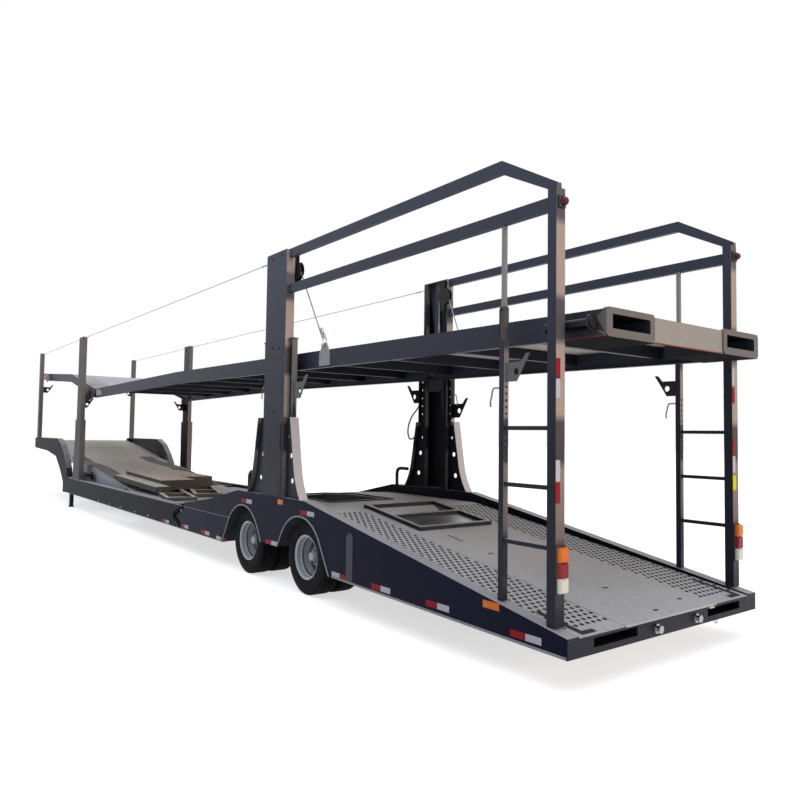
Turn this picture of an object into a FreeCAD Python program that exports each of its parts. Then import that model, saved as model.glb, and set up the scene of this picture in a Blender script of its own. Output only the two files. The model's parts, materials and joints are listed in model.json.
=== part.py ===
"""Two-axle car-carrier semi-trailer: low well frame, rear loading slope, hinged upper deck.

Stations run forward from the rear face of the rear beam, and heights from the ground. Every sub-part
is drawn in those stations, and its Placement moves it so that the origin lies under the middle.
"""
import FreeCAD, Part
import math
import os
import Sketcher
from FreeCAD import Placement, Rotation, Vector

doc = FreeCAD.newDocument("CarCarrierTrailer")

# ------------------------------------------------------------------ driving dimensions, millimetres
SIZES = (
    # (name, value or a formula of other sizes, what it is)
    ("half_width", 1250, "outer face of the side beams, from the centre line"),
    ("front_end", 18050, "station of the front end of the neck"),
    ("deck_overhang", 150, "upper deck past the rear beam"),
    ("web", 10, "side beam web plate"),
    ("flange", 14, "side beam flange plate"),
    ("sheet", 8, "deck sheet"),
    ("seat_gap", 0.3, "gap between plates that only rest on each other"),
    # lower frame outline
    ("rear_bottom", 245, "underside of the rear beam"),
    ("rear_deck", 374, "deck height at the rear end"),
    ("skirt_bottom", 310, "underside of the side beams ahead of the wheels"),
    ("skirt_rise", 55, "how much their underside rises from the rear beam to the wheels"),
    ("hump_start", "=rear_axle - 75", "station where the rear slope reaches the hump"),
    ("hump_end", "=rear_axle + 1575", "station where the hump falls towards the well"),
    ("hump_top", "=hump_deck + 115", "top of the side beam over the wheels"),
    ("hump_deck", "=2 * tyre_radius + 91", "deck height over the wheels"),
    ("dip_station", "=rear_axle + 2425", "station where deck and side beam top meet"),
    ("dip_height", "=hump_deck - 55", "their height there"),
    ("splice_station", 7150, "station where rear and well side beams are spliced"),
    ("splice_nose", 230, "length of the pointed splice"),
    ("well_top", "=well_floor + 50", "top of the well side beams"),
    ("well_floor", 600, "deck height in the well"),
    ("well_start", 7600, "station where the flat well floor starts"),
    ("well_end", "=neck_rise - 3740", "station where the flat well floor ends"),
    ("neck_foot", "=neck_rise + 400", "station of the front end of the well side beams"),
    ("neck_rise", "=second_post + 953", "station where the neck rises from the well beam"),
    ("neck_top", "=neck_deck + 70", "top of the neck beams"),
    ("neck_under", "=neck_deck - 200", "underside of the neck at its front end"),
    ("neck_deck", 1440, "deck height at the front end"),
    ("kerb_width", 120, "width of the closed kerb along each side"),
    ("rail_width", 95, "width of the well beam flanges"),
    ("slope_half", "=half_width - 300", "edge of the sloping deck between well and neck"),
    ("centre_half", 610, "edge of the rear slope's centre plate"),
    ("hatch_half", 500, "hatch frame, from the centre line"),
    # wheels and axles
    ("rear_axle", 3575, "station of the rear axle"),
    ("axle_spacing", 1413, "from rear axle to front axle"),
    ("stub_left", 240, "round stub on the rear beam, left of the centre line"),
    ("stub_right", 300, "round stub on the rear beam, right of the centre line"),
    ("tyre_radius", 397, "tyre, 235/75 R 17.5"),
    ("tyre_width", 230, "one tyre"),
    ("twin_spacing", 265, "between the middles of twin tyres"),
    ("wheel_face", "=half_width - 70", "outer tyre wall, from the centre line"),
    ("rim_radius", 222, "rim barrel"),
    ("rim_flange", "=rim_radius + 14", "rim flange"),
    ("rim_wall", 8, "rim barrel wall"),
    ("rim_well", 26, "depth of the rim's drop centre"),
    ("disc_offset", 168, "wheel disc, inboard of the outer tyre wall"),
    ("hub_radius", 88, "hub behind the discs"),
    ("hub_flange", 112, "hub flange with the wheel nuts"),
    ("hub_cap", 56, "hub cap"),
    ("axle_tube", 64, "radius of the axle tube"),
    ("drum_radius", 165, "brake drum"),
    ("arch_radius", "=tyre_radius + 73", "wheel opening"),
    ("arch_centre", "=tyre_radius - 44", "height of the centre of the wheel opening"),
    ("arch_bridge", 450, "underside of the side beam between the wheels"),
    ("lip_plate", 18, "lip round a wheel opening"),
    ("lip_stand", 8, "how far the lip stands out of the side beam"),
    ("liner_plate", 6, "wheel house liner"),
    ("liner_reach", 600, "inner edge of the liner, from the centre line"),
    ("spring_track", 460, "leaf springs, from the centre line"),
    # columns and posts
    ("column_rear", "=rear_axle + 419", "rear face of the main columns"),
    ("column_length", 485, "main column, fore and aft"),
    ("column_depth", "=kerb_width - 15", "main column, across"),
    ("column_top", 3794, "top of the main columns and of the guard rails"),
    ("column_wall", 12, "main column plate"),
    ("column_lip", 45, "return lips at the column's open side"),
    ("foot_spread", 400, "how far the column foot reaches past the column"),
    ("foot_top", 1890, "top of the column foot"),
    ("foot_ledge", 150, "width of the column foot at its top"),
    ("foot_knee", 255, "its width where the flare starts"),
    ("knee_height", 1330, "height where the flare starts"),
    ("foot_round", 794, "radius of the flare"),
    ("rack_width", 100, "lock rack, fore and aft"),
    ("rack_depth", 60, "lock rack, across"),
    ("rack_top", 2770, "top of the lock racks on the columns"),
    ("rack_hole", 14, "radius of the rack's lock holes"),
    ("horn_plate", 12, "thickness of the support brackets"),
    ("left_horn", 2190, "height of the support bracket on the left column"),
    ("right_horn", 2034, "height of the rear support bracket on the right column"),
    ("ahead_horn", 2245, "height of the front support bracket on the right column"),
    ("thin_horn", 2190, "height of the support brackets on the thin posts"),
    ("second_horn", 2290, "height of the support brackets on the second posts"),
    ("front_horn", 2780, "height of the support brackets on the front posts"),
    ("sheave_radius", 92, "hoist pulley at the column's top"),
    ("sheave_width", 26, "hoist pulley"),
    ("sheave_drop", 240, "hoist pulley, below the column's top"),
    ("ram_radius", 35, "hydraulic ram in the column"),
    ("ram_bottom", 2900, "lower end of the ram's barrel"),
    ("rear_post", 127, "rear face of the rear posts"),
    ("post_length", 78, "rear post, fore and aft"),
    ("post_width", "=kerb_width - 27", "rear post, across"),
    ("post_outer", "=half_width - 27", "outer face of the posts"),
    ("post_top", "=mid_rail + 57", "top of the rear posts"),
    ("thin_post", 640, "rear face of the ladder's thin post"),
    ("thin_size", 50, "ladder's thin post"),
    ("sleeve_top", 2670, "where the thin post's round tube leaves its square sleeve"),
    ("tube_radius", 22, "that round tube"),
    ("first_rung", 946, "lowest rung of the ladder"),
    ("rung_pitch", 414, "between the rungs"),
    ("rail_depth", 95, "guard rail tube, up and down"),
    ("rail_thick", 50, "guard rail tube, across"),
    ("mid_rail", "=column_top - 402", "top of the middle guard rail"),
    ("second_post", "=deck_hinge + 357", "rear face of the second posts"),
    ("mast_length", 340, "second post mast, fore and aft"),
    ("mast_width", "=kerb_width - 35", "second post mast, across"),
    ("mast_top", "=column_top - 44", "top of the second and front posts"),
    ("housing_top", 1945, "top of the second post housing"),
    ("front_post", "=front_end - 336", "rear face of the front posts"),
    ("front_length", 180, "front post, fore and aft"),
    ("front_width", 80, "front post, across"),
    ("wire_radius", 5, "guard wire"),
    ("wire_height", "=column_top - 72", "guard wire"),
    # upper deck
    ("deck_half", "=half_width - 212", "outer face of the upper deck"),
    ("beam_depth", 188, "upper deck side beam"),
    ("beam_flange", 60, "upper deck side beam, across"),
    ("beam_wall", 8, "upper deck side beam wall"),
    ("deck_rear", 2584, "upper deck top at its rear end"),
    ("deck_crown", 2660, "upper deck top at its crown"),
    ("crown_station", 8000, "station of the crown"),
    ("deck_hinge", 12930, "station of the upper deck hinge"),
    ("hinge_reach", 50, "upper deck past its hinge"),
    ("hinge_clear", 25, "from there to the front deck"),
    ("hinge_pin", 30, "radius of the hinge pin"),
    ("carriage_pin", 35, "radius of the carriage pin"),
    ("slot_travel", 78, "how far the carriage pin slides in the deck beam"),
    ("hinge_height", 2500, "height of the upper deck hinge"),
    ("block_half", 200, "carriage block, above and below its pin"),
    ("hoist_eye", 3475, "station of the hoist eyes on the upper deck"),
    ("deck_front", 2604, "upper deck top at the hinge"),
    ("ramp_top", 3050, "front deck top where its slope ends"),
    ("ramp_station", 15120, "station where that slope ends"),
    ("front_deck_top", 3215, "front deck top at the front posts"),
    ("box_length", 500, "rear box of the upper deck, fore and aft"),
    ("member_count", 12, "cross members of the upper deck"),
    ("member_pitch", "=(deck_hinge - box_length - 1430) / (member_count - 1)", "between them"),
    ("slot_width", 440, "ramp slot"),
    ("slot_height", 100, "ramp slot"),
    ("slot_centre", "=deck_half - 288", "ramp slot, from the centre line"),
    ("slot_frame", 55, "rounded frame inboard of a ramp slot"),
    ("frame_stand", 12, "how far it stands out of the box"),
    ("frame_rise", 15, "how far it stands above the box"),
    ("frame_round", 30, "its corner radius"),
    ("plate_half", 440, "recessed plate between the ramp slots, from the centre line"),
    ("lock_radius", 38, "lock tube beside the rear box"),
    ("lock_length", 405, "lock tube, fore and aft"),
    ("lock_flange", 60, "radius of the tube's flange"),
    # landing gear and coupling
    ("leg_station", "=neck_rise - 180", "landing legs"),
    ("leg_offset", "=half_width - 70", "landing legs, from the centre line"),
    ("leg_size", 75, "landing leg tube"),
    ("stringer_offset", 520, "stringers under the deck, from the centre line"),
    ("kingpin_station", "=front_end - 900", "coupling pin"),
    ("kingpin_radius", 25.4, "neck of the coupling pin, which the jaw grips"),
    ("kingpin_collar", 36.5, "radius of the pin's collar, under the plate"),
    ("kingpin_head", 35.5, "radius of the pin's head, its free end"),
    ("collar_length", 35, "pin's collar"),
    ("head_length", 14, "pin's head"),
    ("kingpin_length", 84, "coupling pin below its plate"),
    ("coupler_plate", 12, "thickness of the coupler plate"),
    # loading ramps stowed in the well
    ("stow_rear", 8080, "station of the rearmost stowed ramp"),
    ("stow_width", 480, "open ramp frame"),
    ("stow_bar", 60, "its bars"),
)

sheet = doc.addObject("Spreadsheet::Sheet", "Sizes")
for row, (name, value, meaning) in enumerate(SIZES, start=1):
    sheet.set("A%d" % row, meaning)
    sheet.setAlias("B%d" % row, name)
for row, (name, value, meaning) in enumerate(SIZES, start=1):
    sheet.set("B%d" % row, str(value))
doc.recompute()


class Size:
    """A length, and the spreadsheet formula that gives it."""

    def __init__(self, value, formula):
        self.value = value
        self.formula = formula

    def __add__(self, other):
        return joined(self, "+", other, self.value + amount(other))

    def __radd__(self, other):
        return joined(other, "+", self, amount(other) + self.value)

    def __sub__(self, other):
        return joined(self, "-", other, self.value - amount(other))

    def __rsub__(self, other):
        return joined(other, "-", self, amount(other) - self.value)

    def __mul__(self, other):
        return joined(self, "*", other, self.value * amount(other))

    __rmul__ = __mul__

    def __truediv__(self, other):
        return joined(self, "/", other, self.value / amount(other))

    def __neg__(self):
        return joined(0, "-", self, -self.value)


def amount(size):
    return size.value if isinstance(size, Size) else float(size)


def formula(size):
    return size.formula if isinstance(size, Size) else repr(float(size))


def joined(first, sign, second, value):
    return Size(value, "(%s %s %s)" % (formula(first), sign, formula(second)))


class Sizes:
    """The spreadsheet's cells by name."""

    def __getattr__(self, name):
        return Size(float(sheet.get(name)), "Sizes." + name)


s = Sizes()
LEFT, RIGHT = 1, -1
SIDES = (("left", LEFT), ("right", RIGHT))


# ------------------------------------------------------------------ drawing helpers
def bind(thing, prop, size):
    thing.setExpression(prop, formula(size))


def across(side, inner, outer):
    """Lowest and highest Y of what reaches from inner to outer on one side."""
    return (inner, outer) if side == LEFT else (-outer, -inner)


def put(thing, x, y, z, turn=Rotation()):
    thing.Placement = Placement(Vector(amount(x), amount(y), amount(z)), turn)
    for axis, size in zip("xyz", (x, y, z)):
        bind(thing, "Placement.Base." + axis, size)
    return thing


def block(name, x, y, z):
    """A box between pairs of stations x, widths y and heights z."""
    box = doc.addObject("Part::Box", name)
    for prop, (low, high) in zip(("Length", "Width", "Height"), (x, y, z)):
        bind(box, prop, high - low)
    return put(box, x[0], y[0], z[0])


ALONG = {"X": Rotation(Vector(0, 1, 0), 90), "Y": Rotation(Vector(1, 0, 0), -90), "Z": Rotation()}


def rod(name, axis, start, radius, length):
    """A round bar from a point, along +X, +Y or +Z."""
    bar = doc.addObject("Part::Cylinder", name)
    bind(bar, "Radius", radius)
    bind(bar, "Height", length)
    return put(bar, *start, ALONG[axis])


ORIGIN_PLANES = {"XY": "XY_Plane", "XZ": "XZ_Plane", "YZ": "YZ_Plane"}


def edge_between(start, end, radius):
    """A line, or an arc to the left or (negative radius) to the right, and where it starts and ends."""
    if radius is None:
        return Part.LineSegment(start, end), (1, 2)
    along, size = end - start, amount(radius)
    left = Vector(-along.y, along.x, 0).normalize()
    rise = math.sqrt(size ** 2 - (along.Length / 2) ** 2)
    middle = (start + end) / 2 + left * math.copysign(rise, size)
    first, last = (start, end) if size > 0 else (end, start)
    angles = [math.atan2(p.y - middle.y, p.x - middle.x) for p in (first, last)]
    circle = Part.Circle(middle, Vector(0, 0, 1), abs(size))
    # the sketcher counts an arc's points anticlockwise
    return Part.ArcOfCircle(circle, *angles), (1, 2) if size > 0 else (2, 1)


def sketch(body, name, plane, offset, corners):
    """A closed outline. A corner is a pair, with the radius as third value where an arc starts."""
    outline = body.newObject("Sketcher::SketchObject", name + "Outline")
    support = [f for f in body.Origin.OriginFeatures if f.Role == ORIGIN_PLANES[plane]][0]
    outline.AttachmentSupport = (support, [""])
    outline.MapMode = "FlatFace"
    outline.setExpression("AttachmentOffset.Base.z", formula(offset))
    points = [Vector(amount(corner[0]), amount(corner[1]), 0) for corner in corners]
    radii = [corner[2] if len(corner) == 3 else None for corner in corners]
    ends = []
    for i, radius in enumerate(radii):
        edge, places = edge_between(points[i], points[(i + 1) % len(points)], radius)
        outline.addGeometry(edge, False)
        ends.append(places)
    for i, radius in enumerate(radii):
        after = (i + 1) % len(points)
        outline.addConstraint(Sketcher.Constraint("Coincident", i, ends[i][1], after, ends[after][0]))
        for kind, size in zip(("DistanceX", "DistanceY"), corners[i]):
            measure(outline, size, kind, -1, 1, i, ends[i][0])
        if radius is not None:
            measure(outline, radius if amount(radius) > 0 else -radius, "Radius", i)
    outline.Visibility = False
    return outline


def measure(outline, size, kind, *places):
    """A dimension in a sketch, bound to its size."""
    index = outline.addConstraint(Sketcher.Constraint(kind, *places, amount(size)))
    outline.setExpression("Constraints[%d]" % index, formula(size))


def prism(name, plane, corners, low, high):
    """A padded sketch: an outline in one plane, drawn out between two places across it."""
    body = doc.addObject("PartDesign::Body", name)
    # a sketch on XZ faces -Y, so that it starts at the high side
    outline = sketch(body, name, plane, -high if plane == "XZ" else low, corners)
    pad = body.newObject("PartDesign::Pad", name + "Pad")
    pad.Profile = outline
    bind(pad, "Length", high - low)
    return body


def fused(name, pieces):
    if len(pieces) == 1:
        return pieces[0]
    whole = doc.addObject("Part::MultiFuse", name)
    whole.Shapes = pieces
    return whole


def cut(name, base, tools):
    result = doc.addObject("Part::Cut", name)
    result.Base = base
    result.Tool = fused(name + "Tools", tools)
    return result


def loose(name, pieces):
    """Like pieces that don't touch, kept as one node."""
    group = doc.addObject("Part::Compound", name)
    group.Links = pieces
    return group


def on_line(start, end, station):
    """Height at a station on the straight line between two (station, height) points."""
    return start[1] + (end[1] - start[1]) * (station - start[0]) / (end[0] - start[0])


def height_at(line, station):
    """Height of a broken line at a station."""
    for start, end in zip(line, line[1:]):
        if amount(start[0]) <= amount(station) <= amount(end[0]):
            return on_line(start, end, station)
    raise ValueError("station off the line")


def strip(name, line, depth, low, high, top=0):
    """A plate that follows a broken line of (station, height): from top above it to depth below it."""
    upper = [(x, z + top) for x, z in line]
    lower = [(x, z - depth) for x, z in reversed(line)]
    return prism(name, "XZ", upper + lower, low, high)


def part_of(line, start, end):
    """The stretch of a broken line between two stations."""
    inner = [(x, z) for x, z in line if amount(start) < amount(x) < amount(end)]
    return [(start, height_at(line, start))] + inner + [(end, height_at(line, end))]


# ------------------------------------------------------------------ the lines that pieces share
# tops of the side beams, and the deck between them, as (station, height)
BEAM_TOP = [
    (0, s.rear_deck + 12),
    (s.hump_start, s.hump_top),
    (s.hump_end, s.hump_top),
    (s.dip_station, s.dip_height),
    (s.dip_station + 600, s.dip_height - 90),
    (s.splice_station, s.well_top + 22),
    (s.well_start, s.well_top),
    (s.neck_foot, s.well_top),
]
DECK = [
    (0, s.rear_deck),
    (s.hump_start - 100, s.hump_deck),
    (s.hump_end, s.hump_deck),
    (s.dip_station, s.dip_height),
    (s.dip_station + 600, s.dip_height - 90),
    (s.splice_station, s.well_top + 22),
    (s.well_start + 200, s.well_floor),
    (s.well_end, s.well_floor),
    (s.neck_rise - 1200, s.well_floor + 295),
    (s.neck_rise + 200, s.well_floor + 370),
    (s.neck_foot + 360, s.well_floor + 435),
    (s.neck_foot + 1560, s.neck_deck - 220),
    (s.neck_foot + 2400, s.neck_deck - 105),
    (s.front_end, s.neck_deck),
]
UPPER_TOP = [
    (-s.deck_overhang, s.deck_rear),
    (s.crown_station, s.deck_crown),
    (s.deck_hinge + s.hinge_reach, s.deck_front),
]
FRONT_TOP = [
    (s.deck_hinge + s.hinge_reach + s.hinge_clear, s.deck_front + 12),
    (s.ramp_station, s.ramp_top),
    (s.front_post, s.front_deck_top),
]
front_axle = s.rear_axle + s.axle_spacing
inner_kerb = s.half_width - s.kerb_width
nodes = []


def node(label, thing):
    """Name a finished sub-part and place it in the trailer's frame."""
    thing.Label = label
    middle = (s.front_end - s.deck_overhang) / 2
    bind(thing, "Placement.Base.x", -middle)
    nodes.append(thing)


# ------------------------------------------------------------------ lower frame
# an opening's round top spans this angle to each side of the vertical, and flares below it
ARCH_ANGLE = math.radians(58)
ARCH_SIN, ARCH_COS = math.sin(ARCH_ANGLE), math.cos(ARCH_ANGLE)


def arch_line(axle, radius, rear_foot, front_foot):
    """Wheel opening, from its front foot over the round top to its rear foot."""
    reach, spring = radius * ARCH_SIN, s.arch_centre + radius * ARCH_COS
    flare = ARCH_COS / ARCH_SIN
    return [(axle + reach + (spring - front_foot) * flare, front_foot), (axle + reach, spring, radius),
            (axle - reach, spring), (axle - reach - (spring - rear_foot) * flare, rear_foot)]


def arch_band(name, axle, radius, thickness, rear_foot, front_foot, y):
    """A plate that follows a wheel opening."""
    outer = arch_line(axle, radius + thickness, rear_foot, front_foot)
    front, crown, back, rear = arch_line(axle, radius, rear_foot, front_foot)
    inner = [rear, back + (-radius,), crown[:2], front]
    return prism(name, "XZ", outer + inner, *y)


def rear_side_beam(label, side):
    """Outer web with two lipped wheel openings and their liners, closed kerb on top, flange below."""
    name = label.title().replace("_", "")
    web = across(side, s.half_width - s.web, s.half_width)
    nose = s.splice_station + s.splice_nose
    rear_foot = s.rear_bottom + s.skirt_rise
    feet = ((s.rear_axle, rear_foot, s.arch_bridge), (front_axle, s.arch_bridge, s.skirt_bottom))
    outer = s.arch_radius + s.lip_plate
    foot_start = arch_line(s.rear_axle, outer, rear_foot, s.arch_bridge)[3][0]
    foot_end = arch_line(front_axle, outer, s.arch_bridge, s.skirt_bottom)[0][0]
    low_line = [
        (nose - 130, s.skirt_bottom),
        (nose, s.skirt_bottom + 170),
        (s.splice_station - 190, s.well_top),
    ]
    top_line = part_of(BEAM_TOP, 0, s.splice_station - 190)
    bottom = [(0, s.rear_bottom), (foot_start, rear_foot),
              (s.rear_axle, s.arch_bridge), (front_axle, s.arch_bridge), (foot_end, s.skirt_bottom)]
    plate = prism(name + "Web", "XZ", bottom + low_line + top_line[::-1], *web)
    openings, bands = [], []
    for index, (axle, rear, front) in enumerate(feet):
        # the web and the liner both end inside the lip's thickness
        way = arch_line(axle, s.arch_radius + s.lip_plate / 2, s.rear_bottom - 20, s.rear_bottom - 20)
        openings.append(prism("%sArch%d" % (name, index), "XZ", way, web[0] - 5, web[1] + 5))
        lip = across(side, s.half_width - s.web - 15, s.half_width + s.lip_stand)
        bands.append(arch_band("%sLip%d" % (name, index), axle, s.arch_radius, s.lip_plate,
                               rear, front, lip))
        liner = across(side, s.liner_reach, s.half_width - s.web - 4)
        bands.append(arch_band("%sLiner%d" % (name, index), axle, s.arch_radius + 5, s.liner_plate,
                               rear + 2, front + 2, liner))
    plate = cut(name + "Plate", plate, openings)
    kerb = across(side, inner_kerb, s.half_width - s.web)
    kerb_end = s.dip_station
    cap = strip(name + "Cap", part_of(BEAM_TOP, 0, kerb_end), s.flange, *kerb)
    inside = across(side, inner_kerb, inner_kerb + s.sheet)
    kerb_start = s.rear_post - 6
    top = part_of(BEAM_TOP, kerb_start, kerb_end)
    deck = part_of(DECK, kerb_start, kerb_end)
    kerb_web = prism(name + "Kerb", "XZ",
                     [(x, z - 1) for x, z in top] + [(x, z - 40) for x, z in reversed(deck)], *inside)
    foot = across(side, s.half_width - 80, s.half_width - s.web)
    # the flanges reach into the lips
    sunk = s.lip_plate / 2
    under = [(0, s.rear_bottom + s.flange), (foot_start + sunk, rear_foot + s.flange)]
    rear_flange = strip(name + "RearFoot", part_of(under, kerb_start, foot_start + sunk), s.flange, *foot)
    front_flange = block(name + "FrontFoot", (foot_end - sunk, nose - 130), foot,
                         (s.skirt_bottom, s.skirt_bottom + s.flange))
    node(label, fused(name, [plate, cap, kerb_web, rear_flange, front_flange] + bands))


def well_side_beam(label, side):
    """Channel beam along the well, with a pointed splice to the rear beam."""
    name = label.title().replace("_", "")
    nose = s.splice_station + s.splice_nose
    tip = s.seat_gap
    web = prism(name + "Web", "XZ", [
        (nose - 130 + tip, s.skirt_bottom),
        (s.neck_rise, s.skirt_bottom),
        (s.neck_rise, s.well_top),
        (s.splice_station - 190 + tip, s.well_top),
        (nose + tip, s.skirt_bottom + 170),
    ], *across(side, s.half_width - s.web, s.half_width))
    flanges = across(side, s.half_width - s.rail_width, s.half_width - s.web)
    upper = block(name + "Upper", (nose, s.neck_rise), flanges, (s.well_top - s.flange, s.well_top))
    lower = block(name + "Lower", (nose, s.neck_rise), flanges,
                  (s.skirt_bottom, s.skirt_bottom + s.flange))
    node(label, fused(name, [web, upper, lower]))


# neck outline: station, height, and which way the hollow inside is set back from it
def neck_rows():
    foot, rise = s.neck_foot, s.neck_rise
    return (
        (rise, s.skirt_bottom, 1, 1),
        (foot, s.skirt_bottom - 15, -1, 1),
        (foot + 15, s.skirt_bottom + 220, -1, 1),
        (foot + 340, s.skirt_bottom + 480, -1, 1),
        (foot + 850, s.neck_under - 155, 0, 1),
        (foot + 1800, s.neck_under - 50, 0, 1),
        (s.front_end, s.neck_under, -1, 1),
        (s.front_end, s.neck_top - 25, -1, -1),
        (s.front_end - 150, s.neck_top, 0, -1),
        (rise + 1140, s.neck_top, 0, -1),
        (rise + 720, s.neck_top - 130, 0.5, -1),
        (rise + 370, s.neck_top - 370, 0.7, -1),
        (rise + 80, s.well_top + 210, 1, -0.5),
        (rise, s.well_top, 1, 0),
    )


def neck_beam(label, side):
    """Bent channel that carries the front of the trailer over the tractor's coupling."""
    name = label.title().replace("_", "")
    rows = neck_rows()
    solid = prism(name + "Solid", "XZ", [(x, z) for x, z, _, _ in rows],
                  *across(side, s.half_width - s.kerb_width, s.half_width))
    hollow = prism(name + "Hollow", "XZ",
                   [(x + s.flange * right, z + s.flange * up) for x, z, right, up in rows],
                   *across(side, s.half_width - s.kerb_width - 5, s.half_width - s.web))
    node(label, cut(name, solid, [hollow]))


# a round stub on the rear beam: turning, its station, radius and length
STUB_TURNINGS = (("Collar", -10, 36, 12), ("Stem", -36, 21, 38), ("Head", -44, 29, 12))


def rear_beam():
    """Closed rear beam with two ramp slots and two round stubs."""
    reach = s.half_width - s.web - s.seat_gap
    body = block("RearBeamBody", (0, s.rear_post - 7), (-reach, reach),
                 (s.rear_bottom, s.rear_deck - s.sheet - s.seat_gap))
    slots = []
    for index, side in enumerate((LEFT, RIGHT)):
        slot = across(side, s.slot_centre - 275, s.slot_centre + 225)
        slots.append(block("RearSlot%d" % index, (-5, s.rear_post), slot,
                           (s.rear_deck - 85, s.rear_deck - 20)))
    hollow = cut("RearBeamHollow", body, slots)
    stubs = []
    for index, place in enumerate((-s.stub_right, s.stub_left)):
        for piece, start, radius, length in STUB_TURNINGS:
            stubs.append(rod("RearStub%s%d" % (piece, index), "X", (start, place, s.rear_bottom + 60),
                             radius, length))
    node("rear_beam", fused("RearBeam", [hollow] + stubs))


def slope_webs(name, line):
    """Side plates that close the space under the slope, down to the level of the well floor."""
    base = s.well_floor - s.sheet
    outline = [(line[0][0], base)] + [(x, z - 1) for x, z in line] + [(line[-1][0], base)]
    return [prism(name + text.title(), "XZ", outline, *across(side, s.slope_half - s.sheet, s.slope_half))
            for text, side in SIDES]


def deck_plates():
    """The loading surface: two wheel tracks and a centre plate on the slope, full plates elsewhere."""
    edge = inner_kerb - s.seat_gap
    slope = part_of(DECK, 0, s.hump_start - 100)
    for text, side in SIDES:
        track = across(side, s.centre_half + 1, edge)
        node("rear_track_" + text, strip("RearTrack" + text.title(), slope, s.sheet, *track))
    node("rear_centre_plate", strip("RearCentrePlate", slope, s.sheet, -s.centre_half, s.centre_half, top=4))
    hump = part_of(DECK, s.hump_start - 99, s.dip_station)
    plate = strip("HumpPlate", hump, s.sheet, -edge, edge)
    well = block("HumpOpening", (s.rear_axle + 660, front_axle + 900), (-450, 450),
                 (s.hump_deck - 200, s.hump_deck + 60))
    node("hump_deck", cut("HumpDeck", plate, [well]))
    # the slope from the well up to the neck is narrower than the floor, and open at both sides
    floor = strip("WellFloor", part_of(DECK, s.dip_station + 1, s.well_end), s.sheet, -edge, edge)
    slope = strip("WellSlope", part_of(DECK, s.well_end, s.neck_rise - 1200), s.sheet,
                  -s.slope_half, s.slope_half)
    webs = slope_webs("WellSlopeWeb", part_of(DECK, s.well_end + 300, s.neck_rise - 1200))
    node("well_deck", fused("WellDeck", [floor, slope] + webs))
    slope = strip("NeckSlope", part_of(DECK, s.neck_rise - 1199, s.neck_rise + 100), s.sheet,
                  -s.slope_half, s.slope_half)
    neck = strip("NeckPlate", part_of(DECK, s.neck_rise + 100, s.front_end - 16), s.sheet, -edge, edge)
    webs = slope_webs("NeckSlopeWeb", part_of(DECK, s.neck_rise - 1199, s.neck_foot + 360))
    node("neck_deck", fused("NeckDeck", [slope, neck] + webs))


def stringers():
    """Two stringers that carry the deck from the first rear cross member to the front end of the neck."""
    start = s.rear_post + 560 + s.seat_gap
    line = part_of(DECK, start, s.front_end - 16)
    top = [(x, z - s.sheet - s.seat_gap) for x, z in line]
    hump = s.hump_start - 100
    bottom = [(start, s.rear_bottom + 120)]
    bottom += [(x, z - 170) for x, z in top if amount(hump) <= amount(x) < amount(s.neck_foot)]
    bottom += [(s.neck_foot + 360, s.well_floor + 320), (s.neck_foot + 1560, s.neck_under - 80),
               (s.neck_foot + 1860, s.neck_under), (s.front_end - 16, s.neck_under)]
    for text, side in SIDES:
        y = across(side, s.stringer_offset, s.stringer_offset + 60)
        node("stringer_" + text, prism("Stringer" + text.title(), "XZ", top + bottom[::-1], *y))


def hatch_frame():
    """Raised frame with one cross bar that lies on the slope's centre plate."""
    bar, tall = 45, 40
    start, end = s.hump_start - 1020, s.hump_start - 20
    half = s.hatch_half
    outer = [(x, height_at(DECK, x) + 4 + tall + s.seat_gap) for x in (start, s.hump_start - 100)]
    outer.append((end, outer[1][1]))
    whole = strip("HatchWhole", outer, tall, -half, half)
    windows = []
    middle = (start + end) / 2
    for index, (a, b) in enumerate(((start + bar, middle - bar / 2), (middle + bar / 2, end - bar))):
        windows.append(block("HatchWindow%d" % index, (a, b), (-half + bar, half - bar),
                             (s.rear_deck, s.hump_top + 200)))
    node("hatch_frame", cut("HatchFrame", whole, windows))


def member(name, station, depth, low, high):
    """A cross beam under the deck, across one bay."""
    ahead = station + 60
    under, over = (height_at(DECK, place) - s.sheet for place in (station, ahead))
    return prism(name, "XZ", [(station, under - depth), (ahead, over - depth), (ahead, over),
                              (station, under)], low, high)


def cross_members():
    """Cross beams under the deck, one table row each stretch: first station, pitch, count, depth, edge."""
    kerb = inner_kerb - s.seat_gap
    web = s.half_width - s.web - s.seat_gap
    near, far = s.stringer_offset - s.seat_gap, s.stringer_offset + 60 + s.seat_gap
    rows = (
        ("rear", s.rear_post + 500, 620, 4, 90, kerb),
        ("well", s.well_start + 300, (s.well_end - s.well_start - 100) / 4, 5, 110, web),
        ("ramp", s.well_end + 600, 900, 5, 110, s.slope_half - s.sheet - 1),
        ("neck", s.neck_foot + 2500, 400, 3, 80, kerb),
    )
    for text, first, pitch, count, depth, edge in rows:
        beams = []
        for index in range(count):
            # the first rear beam is whole, and the stringers start at it
            whole = text == "rear" and index == 0
            bays = ((-edge, edge),) if whole else ((-edge, -far), (-near, near), (far, edge))
            for bay, (low, high) in enumerate(bays):
                beams.append(member("%sMember%d%d" % (text.title(), index, bay), first + index * pitch,
                                    depth, low, high))
        if text == "rear":
            # outriggers on both sides of the wheels and between them
            for index, station in enumerate((s.rear_axle - 725, s.rear_axle + s.axle_spacing / 2 - 30,
                                             front_axle + 712)):
                for bay, side in enumerate((LEFT, RIGHT)):
                    beams.append(member("Outrigger%d%d" % (index, bay), station, 110,
                                        *across(side, far, kerb)))
        node(text + "_cross_members", loose(text.title() + "Members", beams))


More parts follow.
